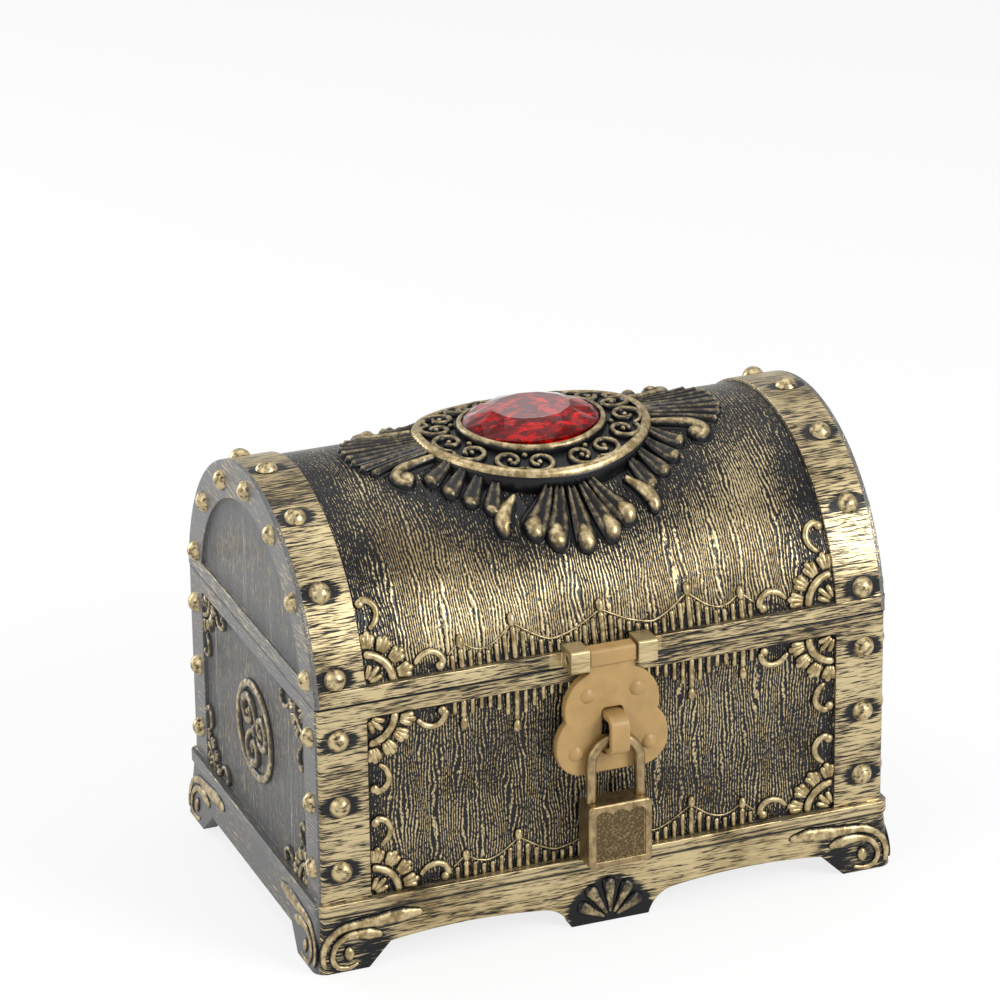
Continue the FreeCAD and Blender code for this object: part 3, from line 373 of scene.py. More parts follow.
def carvedFinish(name, low, high, patchy, ground=paint["black"]):
    # gold on the tops of the carving, bare where it meets the ground
    material, shader, (x, y, z) = startMaterial(name)
    size, run = carvedPaint["rub"], carvedPaint["fineAlong"]
    relief = x.node("ShaderNodeAttribute", {"attribute_name": "relief"}, {}, "Fac")
    rub = x.cloud(x / size, y / size, z / size, 3.0, 0.65)
    fine = x.cloud(x / carvedPaint["fineAcross"], y / run, z / run, 2.0)
    gold = (relief + (rub - 0.5) * patchy + (fine - 0.5) * carvedPaint["fine"]).ease(low, high)
    shade = rub.ease(*carvedPaint["tone"])
    antique(shader, gold, fine * 0.3 + rub * 0.4, shade, carvedPaint["depth"], ground)
    return material


studPaint = {"rub": 1.6, "fineAlong": 3.0, "fineAcross": 0.4, "gold": (0.42, 0.62), "tone": (0.3, 0.6),
             "depth": 0.00012}


def studFinish():
    material, shader, (x, y, z) = startMaterial("studGold")
    size, thin = studPaint["rub"], studPaint["fineAcross"]
    rub = x.cloud(x / size, y / size, z / size, 3.0, 0.6)
    fine = x.cloud(x / studPaint["fineAlong"], y / thin, z / thin, 2.0)
    gold = (rub * 0.7 + fine * 0.5).ease(*studPaint["gold"])
    antique(shader, gold, fine * 0.25 + rub * 0.2, rub.ease(*studPaint["tone"]), studPaint["depth"])
    return material


plain = {"drift": 5, "toneRange": (0.25, 0.75), "glossDrift": 0.2, "bump": 0.12, "depth": 0.00005}


def plainFinish(name, colour, roughness, metal=0.0, tone=0.12, grain=0.6):
    # one colour with a little drift in shade and gloss
    material, shader, (x, y, z) = startMaterial(name)
    drift = x.cloud(x / plain["drift"], y / plain["drift"], z / plain["drift"], 3.0)
    fine = x.cloud(x / grain, y / grain, z / grain, 2.0)
    dark = tuple(c * (1 - 2 * tone) for c in colour[:3]) + (1,)
    light = tuple(min(1, c * (1 + 2 * tone)) for c in colour[:3]) + (1,)
    feed(shader, baseColor=drift.ease(*plain["toneRange"]).tint(dark, light), metallic=metal,
         roughness=(drift - 0.5) * plain["glossDrift"] + roughness,
         normal=bump(fine, plain["bump"], plain["depth"]))
    return material


# Lock: old brass, and on the case a pebbled field in front
brass = {
    "old": (0.11, 0.078, 0.038, 1), "bright": (0.54, 0.40, 0.21, 1), "tone": (0.15, 0.85), "metal": 0.95,
    "rough": 0.45, "polish": 0.16, "rub": 2.5, "fineAcross": 0.5, "fineAlong": 3.0, "bump": 0.6,
    "depth": 0.00025, "pebbles": 1.45, "fieldX": 7.0, "fieldY": (-61.9, -61.63), "fieldZ": (22.0, 37.2),
}


def lockFinish(name, pebbled):
    material, shader, (x, y, z) = startMaterial(name)
    size, thin = brass["rub"], brass["fineAcross"]
    rub = x.cloud(x / size, y / size, z / size, 3.0, 0.6)
    fine = x.cloud(x / thin, y / thin, z / brass["fineAlong"], 2.0)
    shade = rub * 0.75 + fine * 0.25
    height = fine * 0.1
    if pebbled:
        field = (brass["fieldX"] - x.size()).ease(0, 0.3)
        for place, (low, high) in ((y, brass["fieldY"]), (z, brass["fieldZ"])):
            field = field * place.above(low) * place.below(high)
        pebble = 1 - (x.cells(x, y * 0.2, z, brass["pebbles"], "Distance") + rub * 0.5)
        height = field.switch(height, pebble * 1.2)
        shade = field.switch(shade, pebble * 0.55 + 0.1)
    feed(shader, baseColor=shade.ease(*brass["tone"]).tint(brass["old"], brass["bright"]),
         metallic=brass["metal"], roughness=brass["rough"] - shade * brass["polish"],
         normal=bump(height, brass["bump"], brass["depth"]))
    return material


finish = {
    "box": boxFinish(), "lid": lidFinish(), "stud": studFinish(),
    "carved": carvedFinish("carvedGold", low=0.34, high=0.72, patchy=0.5),
    # on the sides the carving's ground is grey and gold only on the tops: painted reflection of the bright
    # surround
    "sideCarved": carvedFinish("carvedGrey", low=0.62, high=1.12, patchy=0.8, ground=paint["worn"]),
    "crest": carvedFinish("crestBronze", low=0.5, high=1.0, patchy=0.4),
    "inner": plainFinish("innerBlack", (0.008, 0.008, 0.009, 1), 0.2, tone=0.1),
    "tan": plainFinish("tanPlastic", (0.385, 0.24, 0.084, 1), 0.42, tone=0.05, grain=0.35),
    "case": lockFinish("lockBrass", True), "shackle": lockFinish("shackleBrass", False),
    "pin": plainFinish("pinSteel", (0.10, 0.085, 0.06, 1), 0.4, metal=0.8),
    "peg": plainFinish("pegRed", (0.45, 0.008, 0.012, 1), 0.25),
}
print("finishes mixed:", len(finish))


# Places on the chest: u to the right and v up as the face is looked at, h outwards
def onFront(u, v, h):
    return Vector((u, midY - chest["halfDepth"] + chest["sink"] - h, v))


def onBack(u, v, h):
    return Vector((-u, midY + chest["halfDepth"] - chest["sink"] + h, v))


def onLeft(u, v, h):
    return Vector((-chest["halfLength"] + chest["sink"] - h, midY - u, v))


def onRight(u, v, h):
    return Vector((chest["halfLength"] - chest["sink"] + h, midY + u, v))


def onPlinth(face):
    # the plinth stands out from the panel above it, more towards the ground
    def place(u, v, h):
        lean = (chest["plinthOut"] - chest["footOut"]) * v / chest["ledgeLow"]
        return face(u, v, h + chest["sink"] + chest["footOut"] + lean)
    return place


def onDomeFront(u, v, h):
    # v is measured over the arch from the rim
    turn = rimAngle + v / panelRadius
    reach = panelRadius + h
    return Vector((u, midY - reach * math.cos(turn), chest["domeMiddle"] + reach * math.sin(turn)))


def onDomeBack(u, v, h):
    spot = onDomeFront(-u, v, h)
    return Vector((spot.x, 2 * midY - spot.y, spot.z))


def onArch(u, v, reach):
    # plan place on the dome's arch; v runs to the back
    sine = max(-0.999, min(0.999, v / panelRadius))
    return Vector((u, midY + reach * sine, chest["domeMiddle"] + reach * math.sqrt(1 - sine * sine)))


def onTop(u, v, h):
    return onArch(u, v, panelRadius + h)


def underTop(u, v, h):
    return onArch(u, v, chest["innerRadius"] - h)


def onCrest(u, v, h):
    turn = v / chest["crestArch"]
    reach = chest["crestArch"] + h
    low = chest["crestTop"] - chest["crestArch"]
    return Vector((u, midY + reach * math.sin(turn), low + reach * math.cos(turn)))


def smoothPath(points, step):
    # even points on a smooth line through the given ones
    spots = [Vector(p) for p in points]
    ends = [spots[0] * 2 - spots[1]] + spots + [spots[-1] * 2 - spots[-2]]
    line = []
    for a, b, c, d in zip(ends, ends[1:], ends[2:], ends[3:]):
        parts = max(2, round((c - b).length / step))
        for k in range(parts):
            t = k / parts
            line.append((b * 2 + (c - a) * t + (a * 2 - b * 5 + c * 4 - d) * t ** 2
                         + (b * 3 - a - c * 3 + d) * t ** 3) / 2)
    line.append(spots[-1])
    return line


def between(values, t):
    # one number, or the place at share t in a row of them
    if isinstance(values, (int, float)):
        return values
    spot = t * (len(values) - 1)
    k = min(int(spot), len(values) - 2)
    return values[k] + (values[k + 1] - values[k]) * (spot - k)


def loft(bm, rings, closed):
    # skin over rings of points, with caps unless the row of rings closes on itself
    for first, second in zip(rings, rings[1:] + rings[:1] if closed else rings[1:]):
        for k in range(len(first)):
            n = (k + 1) % len(first)
            bm.faces.new((first[k], first[n], second[n], second[k]))
    if not closed:
        bm.faces.new(rings[0])
        bm.faces.new(reversed(rings[-1]))


class Carving:
    # raised strokes that lie on one face of the chest and make one piece
    arch = 7            # points over a stroke
    beadRings = 7       # rings along a bead
    root = 0.4          # how far a stroke goes into its ground
    steps = (0.3, 0.7)  # least and most length of a step along a stroke

    def __init__(self, name, place):
        self.name = name
        self.place = place
        self.bm = bmesh.new()
        self.relief = self.bm.verts.layers.float.new("relief")

    def vert(self, u, v, h, relief):
        made = self.bm.verts.new(self.place(u, v, h))
        made[self.relief] = relief
        return made

    def section(self, spot, side, half, high, gold, groove=0.0):
        # half-round ring across a stroke, with both edges let into the ground
        ring = []
        for k in range(self.arch):
            turn = math.pi * k / (self.arch - 1)
            rise = math.sin(turn) * (1 - groove * math.sin(turn) ** 6)
            place = spot + side * (half * math.cos(turn))
            ring.append(self.vert(place.x, place.y, high * rise, gold * rise))
        for sign in (-1, 1):
            place = spot + side * (half * sign)
            ring.append(self.vert(place.x, place.y, -self.root, 0.0))
        return ring

    def stroke(self, points, width, height, groove=0.0, shine=1.0, step=0.0):
        # round-ended ridge along a line; width and height may change on the way
        widest = width if isinstance(width, (int, float)) else max(width)
        line = smoothPath(points, step or max(self.steps[0], min(self.steps[1], widest * 0.45)))
        spans = [0.0]
        for a, b in zip(line, line[1:]):
            spans.append(spans[-1] + (b - a).length)
        total = spans[-1]
        rings = []
        for k, spot in enumerate(line):
            ahead = line[min(k + 1, len(line) - 1)] - line[max(k - 1, 0)]
            side = Vector((-ahead.y, ahead.x)).normalized()
            half, high = between(width, spans[k] / total), between(height, spans[k] / total)
            gap = min(spans[k], total - spans[k]) / max(half, 0.2)
            end = max(0.12, math.sqrt(1 - (1 - min(gap, 1)) ** 2))
            rings.append(self.section(spot, side, half * end, high * end, end * shine, groove))
        loft(self.bm, rings, False)

    def bead(self, u, v, radius, height, stretch=1.0):
        rings = []
        for k in range(self.beadRings):
            share = -math.cos(math.pi * k / (self.beadRings - 1)) * 0.999
            size = math.sqrt(max(0.02, 1 - share ** 2))
            spot = Vector((u, v + share * radius * stretch))
            rings.append(self.section(spot, Vector((1, 0)), radius * size, height * size, size))
        loft(self.bm, rings, False)

    def hoop(self, halfU, halfV, profile, middle=(0, 0), count=96):
        # closed oval moulding; the profile is offset outwards, height, and how gold it is
        rings = []
        for k in range(count):
            turn = 2 * math.pi * k / count
            spot = Vector((halfU * math.cos(turn), halfV * math.sin(turn)))
            out = Vector((math.cos(turn) / halfU, math.sin(turn) / halfV)).normalized()
            ring = []
            for offset, high, gold in profile:
                place = spot + out * offset + Vector(middle)
                ring.append(self.vert(place.x, place.y, high, gold))
            rings.append(ring)
        loft(self.bm, rings, True)

    def done(self, material, body, *replaced):
        return makePiece(self.name, self.bm, material, body, replaced)


def makePiece(name, bm, material, body, replaced=(), smooth=True):
    bmesh.ops.recalc_face_normals(bm, faces=bm.faces)
    mesh = bpy.data.meshes.new(name)
    bm.to_mesh(mesh)
    bm.free()
    mesh.polygons.foreach_set("use_smooth", [smooth] * len(mesh.polygons))
    mesh.transform(Matrix.Scale(0.001, 4))
    mesh.materials.append(material)
    piece = bpy.data.objects.new(name, mesh)
    bpy.context.scene.collection.objects.link(piece)
    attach(piece, body)
    if replaced:
        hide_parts(*replaced)
    return piece


def polar(radius, degrees, middle=(0, 0)):
    turn = math.radians(degrees)
    return (middle[0] + radius * math.cos(turn), middle[1] + radius * math.sin(turn))


def spiral(middle, first, last, start, sweep, count):
    # points from radius first to radius last, from an angle through a sweep in degrees
    shares = [k / count for k in range(count + 1)]
    return [polar(first + (last - first) * t, start + sweep * t, middle) for t in shares]


# Fringes: bars beside each other, longer towards the finials; x and length in millimetres
fringe = {
    "bars": [(2.5, 7.2), (5.0, 5.8), (7.5, 4.8), (10.0, 3.9), (12.5, 3.3), (15.0, 3.2), (17.5, 4.1),
             (20.0, 5.5), (22.5, 7.1), (27.5, 6.8), (30.0, 5.0), (32.5, 3.7), (35.0, 3.6), (37.5, 4.6),
             (42.5, 3.9)],
    "bar": {"width": [0.62, 0.72], "height": [0.75, 0.8], "shine": 0.95}, "sunk": 0.3,
    "finials": [(0.0, 12.0), (25.0, 12.3), (40.0, 8.9)],
    "stem": {"width": [0.85, 0.75], "height": [0.9, 0.95]},
    "tip": {"width": [0.5, 1.15, 1.2, 0.7], "height": [0.7, 1.25, 1.3, 0.8]},
    "tipLong": 3.6, "tipSunk": 0.6, "collar": {"radius": 0.95, "height": 1.0}, "collarDown": 1.1,
    "scallop": [(0.0, 8.6), (2.5, 7.6), (7.5, 5.2), (12.5, 3.8), (15.5, 3.8), (20.0, 6.0), (23.4, 8.3),
                (25.0, 9.0), (26.6, 8.0), (30.0, 5.5), (33.5, 4.2), (36.5, 4.7), (38.8, 6.1), (40.0, 6.5),
                (41.4, 5.8), (43.8, 3.6)],
    "edge": {"width": 0.3, "height": 0.42, "shine": 0.8, "step": 0.6},
    "boxStretch": 0.95, "lidStretch": 1.02,
}


def carveFringe(carving, base, way, stretch=1.0, scallop=True):
    def bar(x, low, high, kind):
        carving.stroke([(x, base + way * low), (x, base + way * high)], **fringe[kind])

    for sign in (1, -1):
        for x, length in fringe["bars"]:
            bar(sign * x, -fringe["sunk"], length * stretch, "bar")
        for x, length in fringe["finials"]:
            if x == 0 and sign < 0:
                continue
            neck = (length - fringe["tipLong"]) * stretch
            bar(sign * x, -fringe["sunk"], neck, "stem")
            bar(sign * x, neck - fringe["tipSunk"], length * stretch, "tip")
            carving.bead(sign * x, base + way * (neck - fringe["collarDown"]), **fringe["collar"])
    if scallop:
        half = fringe["scallop"]
        line = [(-x, rise) for x, rise in reversed(half[1:])] + half
        carving.stroke([(x, base + way * rise * stretch) for x, rise in line], **fringe["edge"])


# Corner rosette: quarter ring, petals and two hooked curls; lengths from the panel's corner
rosette = {
    "ring": 7.9, "ringTurns": range(-2, 93, 10), "ringWidth": 1.2, "ringHeight": 1.2, "sideScale": 0.82,
    "petals": (11.5, 34.5, 57.5, 80.5), "petalIn": 9.2, "petalPinch": 0.6,
    "ribs": ((-6.4, 13.5, 1.0), (0, 14.3, 0.9), (6.4, 13.5, 1.0)),
    "ribWidth": (0.6, 0.9, 1.05, 1.0), "ribHeight": (1.2, 1.3, 1.1), "ribFoot": 0.8,
    "bud": 45, "budIn": 1.4, "budRibs": ((-24, 5.6, 1.0), (0, 6.4, 0.9), (24, 5.6, 1.0)),
    "budWidth": (0.5, 0.9, 0.8), "budHeight": (1.1, 0.8), "budFoot": 0.7,
    "hook": [(14.0, 3.0), (16.0, 5.1), (18.6, 5.9), (20.9, 5.0), (22.0, 3.0), (21.6, 1.6)],
    "hookWidth": (0.7, 0.95, 1.0, 1.05, 1.1), "hookHeight": [0.9, 1.1, 1.2, 1.2, 1.1],
    "ball": (21.1, 1.75), "ballRadius": 1.45, "ballHeight": 1.35,
}


def carveRosette(carving, cornerU, cornerV, signU, signV, scale=1.0):
    def at(points):
        return [(cornerU + signU * a * scale, cornerV + signV * b * scale) for a, b in points]

    def rib(ends, widths, foot, heights, high):
        carving.stroke(at(ends), [w * scale for w in widths], [foot] + [h * high for h in heights])

    ring = [polar(rosette["ring"], degrees) for degrees in rosette["ringTurns"]]
    carving.stroke(at(ring), rosette["ringWidth"] * scale, rosette["ringHeight"])
    for degrees in rosette["petals"]:
        for turn, reach, high in rosette["ribs"]:
            start = polar(rosette["petalIn"], degrees + turn * rosette["petalPinch"])
            rib([start, polar(reach, degrees + turn)], rosette["ribWidth"], rosette["ribFoot"],
                rosette["ribHeight"], high)
    for turn, reach, high in rosette["budRibs"]:
        degrees = rosette["bud"] + turn
        rib([polar(rosette["budIn"], degrees), polar(reach, degrees)], rosette["budWidth"],
            rosette["budFoot"], rosette["budHeight"], high)
    for way in (1, -1):
        # the second hook is the first with its lengths the other way about
        hook, ball = [p[::way] for p in rosette["hook"]], rosette["ball"][::way]
        carving.stroke(at(hook), [w * scale for w in rosette["hookWidth"]], rosette["hookHeight"])
        carving.bead(*at([ball])[0], rosette["ballRadius"] * scale, rosette["ballHeight"])


def carvePanel(name, place, halfWide, replaced, withFringe, scale=1.0, look="carved"):
    carving = Carving(name, place)
    low, high = chest["ledgeTop"], chest["panelTop"]
    for sign in (1, -1):
        carveRosette(carving, sign * halfWide, low, -sign, 1, scale)
        carveRosette(carving, sign * halfWide, high, -sign, -1, scale)
    if withFringe:
        carveFringe(carving, low, 1, fringe["boxStretch"])
        carveFringe(carving, high, -1, 1.0, False)
    return carving.done(finish[look], "box", replaced)


for face, place in (("front", onFront), ("back", onBack)):
    carvePanel(f"{face}_carving", place, chest["bandX"], f"carving_{face}", True)
for face, place in (("left", onLeft), ("right", onRight)):
    carvePanel(f"{face}_carving", place, chest["bandY"], f"carving_{face}", False, rosette["sideScale"],
               "sideCarved")

for face, place in (("front", onDomeFront), ("back", onDomeBack)):
    carving = Carving(f"lid_{face}_carving", place)
    for sign in (1, -1):
        carveRosette(carving, sign * chest["bandX"], 0.0, -sign, 1)
    carveFringe(carving, 0.0, 1, fringe["lidStretch"])
    carving.done(finish["carved"], "lid", f"lid_carving_{face}")
print("panels carved")


# Ring medallions on the sides, with three curled commas round a bead
medallion = {
    "middle": 47.5, "radius": 13.4, "sides": 72,
    "ring": [(-1.6, -0.3, 0), (-1.4, 0.6, 0.5), (-0.6, 1.1, 0.95), (0.4, 1.1, 1.0), (1.1, 0.7, 0.7),
             (1.3, -0.3, 0)],
    "comma": 6.2, "turned": 20, "curlOut": 5.6, "curlIn": 1.3, "curlStart": -150, "sweep": 470,
    "curl": {"width": [0.7, 1.4, 1.5, 1.25, 1.0], "height": [0.7, 1.4, 1.5, 1.3, 1.1]},
    "eye": {"radius": 1.2, "height": 1.4}, "bead": {"radius": 2.0, "height": 1.5},
}


def carveMedallion(name, place, replaced):
    carving = Carving(name, place)
    middle = (0, medallion["middle"])
    carving.hoop(medallion["radius"], medallion["radius"], medallion["ring"], middle, medallion["sides"])
    for degrees in (0, 120, 240):
        eye = polar(medallion["comma"], degrees + medallion["turned"], middle)
        curl = spiral(eye, medallion["curlOut"], medallion["curlIn"], degrees + medallion["curlStart"],
                      medallion["sweep"], 26)
        carving.stroke(curl, **medallion["curl"])
        carving.bead(*eye, **medallion["eye"])
    carving.bead(*middle, **medallion["bead"])
    return carving.done(finish["sideCarved"], "box", replaced)


carveMedallion("left_medallion", onLeft, "side_ring_left")
carveMedallion("right_medallion", onRight, "side_ring_right")
print("medallions carved")


# Foot scrolls; lengths from the chest's corner and up from the ground
scroll = {
    "outer": [(31, 13.0), (25, 13.3), (18.3, 12.9), (9, 12.5), (3.9, 9.6), (2.1, 5.2), (2.7, 1.6)],
    "outerWidth": [1.0, 2.2, 2.0, 1.4, 1.25, 1.1, 0.8],
    "inner": [(19.4, 8.7), (14.5, 9.9), (9.2, 9.9), (5.9, 7.9), (4.7, 4.6), (6.0, 1.9), (9, 1.1),
              (12.2, 2.0)],
    "innerWidth": [0.8, 1.9, 1.5, 1.05, 0.95, 0.9, 0.8, 0.5],
    "height": [0.5, 1.2, 1.15, 1.1, 1.05, 0.9, 0.6, 0.4], "shine": 0.8,
    "eye": (9.4, 5.1), "eyeRadius": 1.6, "eyeHeight": 1.3, "eyeStretch": 1.35, "sideLow": 0.6,
}


def carveFeet(name, place, half, low):
    carving = Carving(name, place)
    heights = [h * low for h in scroll["height"]]
    for sign in (1, -1):
        def at(points):
            return [(sign * (half - a), b) for a, b in points]

        for curl in ("outer", "inner"):
            carving.stroke(at(scroll[curl]), scroll[curl + "Width"], heights, shine=scroll["shine"], step=0.5)
        carving.bead(*at([scroll["eye"]])[0], scroll["eyeRadius"], scroll["eyeHeight"] * low,
                     stretch=scroll["eyeStretch"])
    return carving


# Fan of five lobes on the middle drop of the front and back aprons
lobes = {
    "root": (0.0, 0.6), "start": 1.6, "reach": {90: 12.2, 59: 12.0, 121: 12.0, 31: 10.8, 149: 10.8},
    "lobe": {"width": [0.4, 1.0, 1.8, 2.4], "height": [0.5, 1.0, 1.4, 1.4], "groove": 0.2, "shine": 0.64},
}

for face, panelFace in (("front", onFront), ("back", onBack)):
    carving = carveFeet(f"{face}_feet", onPlinth(panelFace), chest["halfLength"] + chest["footOut"], 1.0)
    for degrees, reach in lobes["reach"].items():
        ends = [polar(radius, degrees, lobes["root"]) for radius in (lobes["start"], reach)]
        carving.stroke(ends, **lobes["lobe"])
    carving.done(finish["carved"], "box", f"foot_carving_{face}")
for face, panelFace in (("left", onLeft), ("right", onRight)):
    carving = carveFeet(f"{face}_feet", onPlinth(panelFace), chest["halfDepth"] + chest["footOut"],
                        scroll["sideLow"])
    carving.done(finish["carved"], "box", f"foot_carving_{face}")
print("feet carved")


# Crest: plan places in the quarter to the right and back, mirrored into the others
crest = {
    "fan": {
        "ends": [((31.5, 0.9), (54.0, 1.9)), ((31.3, 2.4), (53.6, 5.2)), ((31.0, 3.9), (52.2, 8.4)),
                 ((30.6, 5.4), (50.0, 11.2))],
        "ray": {"width": [0.7, 0.9, 1.35, 1.6], "height": [2.2, 1.9, 1.7, 1.7], "shine": 0.66},
        "bend": (0.5, 0.38), "knob": 0.1, "knobWidth": [1.3, 1.6, 1.5], "knobFoot": 1.8,
        "knobHeight": [2.2, 2.0],
    },
    "lumps": {
        "ends": [((28.2, 12.2), (37.2, 18.6)), ((25.6, 15.8), (33.6, 23.4)), ((22.4, 18.6), (28.9, 27.2)),
                 ((18.8, 21.2), (23.6, 30.4))],
        "ray": {"width": [1.2, 2.0, 2.7, 3.0], "height": [4.4, 3.0, 2.3, 2.4], "groove": 0.5, "shine": 0.95},
        "bend": (0.5, 0.5), "knob": 0.34, "knobWidth": [1.7, 2.8, 2.9], "knobFoot": 1.9,
        "knobHeight": [2.7, 2.6],
    },
    "petals": {
        "ends": [((0.0, 26.2), (0.0, 41.0)), ((2.8, 25.8), (9.0, 39.6)), ((5.4, 25.2), (15.2, 36.6))],
        "ray": {"width": [1.2, 2.1, 3.0, 3.4], "height": [5.8, 3.9, 2.6, 2.2], "groove": 0.65, "shine": 1.1},
        "bend": (0.46, 0.5), "knob": 0.42, "knobWidth": [1.0, 2.4, 3.3, 3.2], "knobFoot": 1.9,
        "knobHeight": [2.6, 3.0, 2.7],
    },
    "curlLine": [(30.5, 8.4), (37.0, 9.6), (42.0, 11.4), (44.4, 14.4), (42.6, 17.0), (40.2, 16.4)],
    "curl": {"width": [1.1, 1.5, 1.9, 2.0, 1.7], "height": [2.4, 2.2, 2.2, 2.1, 1.9], "shine": 0.9},
    "ball": (41.4, 15.4), "ballRadius": 2.5, "ballHeight": 2.7,
    "leafLine": [(15.4, 26.4), (18.4, 28.6), (20.8, 31.2), (21.2, 33.6), (19.6, 34.6)],
    "leafWidth": [0.7, 1.4, 2.2, 2.7, 2.3], "leafHeight": [3.2, 2.6, 2.7], "leafTip": 2.9,
    "leafEnd": 2.4, "leafShine": 1.05, "bedWider": 0.8, "bedHeight": 0.4, "insideTip": 0.75,
}


def carveRays(carving, tip):
    # rays that leave the ring: side fans, lumps, palmettes, curls and leaves; tip lowers their ends
    for signU, signV in ((1, 1), (1, -1), (-1, 1), (-1, -1)):
        def at(points):
            return [(signU * a, signV * b) for a, b in points]

        def ray(points, width, height, **look):
            # a low black bed under each ray keeps it apart from the boards
            bed = [w + crest["bedWider"] for w in width]
            carving.stroke(at(points), bed, crest["bedHeight"], shine=0.0)
            carving.stroke(at(points), width, height, **look)

        for kind in (crest["fan"], crest["lumps"], crest["petals"]):
            for start, end in kind["ends"]:
                if start[0] == 0 and signU < 0:
                    continue
                bend = ((start[0] + end[0]) * kind["bend"][0],
                        start[1] + (end[1] - start[1]) * kind["bend"][1])
                ray([start, bend, end], **kind["ray"])
                near = tuple(b + (a - b) * kind["knob"] for a, b in zip(start, end))
                carving.stroke(at([near, end]), kind["knobWidth"],
                               [kind["knobFoot"]] + [h * tip for h in kind["knobHeight"]])
        ray(crest["curlLine"], **crest["curl"])
        carving.bead(*at([crest["ball"]])[0], crest["ballRadius"], crest["ballHeight"] * tip)
        leafHeight = crest["leafHeight"] + [crest["leafTip"] * tip, crest["leafEnd"]]
        ray(crest["leafLine"], crest["leafWidth"], leafHeight, shine=crest["leafShine"])


rays = Carving("crest_rays", onTop)
carveRays(rays, 1.0)
rays.done(finish["crest"], "lid")

# Field of the crest: an arched oval on the dome; each row is a share of it, a drop and how gold it is
fieldShape = {
    "rows": [(0.02, 0, 0.12), (0.35, 0, 0.12), (0.62, 0, 0.12), (0.8, 0, 0.12), (0.93, 0, 0.12),
             (1.0, 0.1, 0.12), (1.012, 0.9, 0.42), (1.02, 3.0, 0.42), (1.045, 8, 0.12), (0.9, 9, 0.12),
             (0.7, 9, 0.12), (0.45, 9, 0.12), (0.2, 9, 0.12), (0.02, 9, 0.12)],
    "sides": 96, "sunk": 0.6,
}
field = Carving("crest_field", onCrest)
rows = []
for share, drop, gold in fieldShape["rows"]:
    row = []
    for k in range(fieldShape["sides"]):
        turn = 2 * math.pi * k / fieldShape["sides"]
        u, v = chest["crestX"] * share * math.cos(turn), chest["crestY"] * share * math.sin(turn)
        # the underside follows the dome, a little inside the shell's wall
        ground = math.sqrt(panelRadius ** 2 - v * v) + chest["domeMiddle"] - fieldShape["sunk"]
        level = field.place(u, v, 0).z
        row.append(field.vert(u, v, -min(drop, max(0.0, level - ground)), gold))
    rows.append(row)
loft(field.bm, rows, False)
field.done(finish["crest"], "lid", "crest_plate")


# Ram's-horn scrolls between the ring and the bezel
horns = {
    "count": 8, "halfX": 25.4, "halfY": 21.7, "size": 1.26, "sideSize": 0.14, "eye": (3.0, 0.1),
    "curlOut": 3.5, "curlIn": 1.0, "start": 150, "sweep": -430,
    "curl": {"width": [0.7, 0.95, 1.0, 0.85, 0.8], "height": [0.9, 1.5, 1.6, 1.4, 1.3], "shine": 0.86,
             "step": 0.4},
    "eyeBead": {"radius": 0.95, "height": 1.5},
    "drop": (0.0, -2.4), "dropBead": {"radius": 1.0, "height": 1.2},
}


def carveHorns(carving):
    for k in range(horns["count"]):
        turn = 2 * math.pi * (k + 0.5) / horns["count"] - math.pi / 2
        middle = Vector((horns["halfX"] * math.cos(turn), horns["halfY"] * math.sin(turn)))
        out = Vector((math.cos(turn) / horns["halfX"], math.sin(turn) / horns["halfY"])).normalized()
        side = Vector((-out.y, out.x))
        size = horns["size"] + horns["sideSize"] * abs(math.cos(turn))
        for flip in (1, -1):
            def at(points):
                return [tuple(middle + side * (flip * a * size) + out * (b * size)) for a, b in points]

            curl = spiral(horns["eye"], horns["curlOut"], horns["curlIn"], horns["start"], horns["sweep"], 24)
            carving.stroke(at(curl), **horns["curl"])
            carving.bead(*at([horns["eye"]])[0], **horns["eyeBead"])
        carving.bead(*at([horns["drop"]])[0], **horns["dropBead"])


scrolls = Carving("crest_scrolls", onCrest)
carveHorns(scrolls)
scrolls.done(finish["crest"], "lid")

# Ring and bezel: half sizes of the oval, then offset outwards, height and how gold
hoops = {
    "rim": (chest["crestX"] - 1.3, chest["crestY"] - 1.3,
            [(-1.4, -0.4, 0.2), (-1.35, 0.7, 0.6), (-0.9, 1.2, 0.95), (-0.3, 1.3, 1.0), (0.5, 1.05, 1.05),
             (1.15, 0.3, 1.0), (1.5, -0.7, 0.8), (1.6, -1.6, 0.4), (0.4, -1.6, 0.0)]),
    "bezel": (20.2, 17.2,
              [(-1.2, -0.4, 0.3), (-1.18, 2.1, 0.5), (-0.9, 2.5, 0.8), (-0.4, 2.55, 0.92), (0.1, 2.2, 0.85),
               (0.4, 1.5, 0.6), (0.6, 0.7, 0.3), (0.9, -0.4, 0.0)]),
    "hollowRim": (31.6, 26.6, [(-1.6, -0.4, 0), (-1.2, 0.9, 0), (0, 1.4, 0), (1.2, 0.9, 0), (1.6, -0.4, 0)]),
    "hollowEye": (14.0, 12.2, [(-0.9, -0.4, 0), (-0.6, 0.7, 0), (0, 0.9, 0), (0.6, 0.7, 0), (0.9, -0.4, 0)]),
    "hollowBead": {"radius": 1.4, "height": 1.2},
}
for name, hoop, replaced in (("crest_rim", "rim", "crest_ring"), ("crest_bezel", "bezel", "gem_bezel")):
    carving = Carving(name, onCrest)
    carving.hoop(*hoops[hoop])
    carving.done(finish["crest"], "lid", replaced)

# The back of the crest shows inside the lid, moulded hollow
hollow = Carving("lid_inside_relief", underTop)
carveRays(hollow, crest["insideTip"])
hollow.hoop(*hoops["hollowRim"])
hollow.hoop(*hoops["hollowEye"])
hollow.bead(0, 0, **hoops["hollowBead"])
hollow.done(finish["inner"], "lid")
print("crest carved")


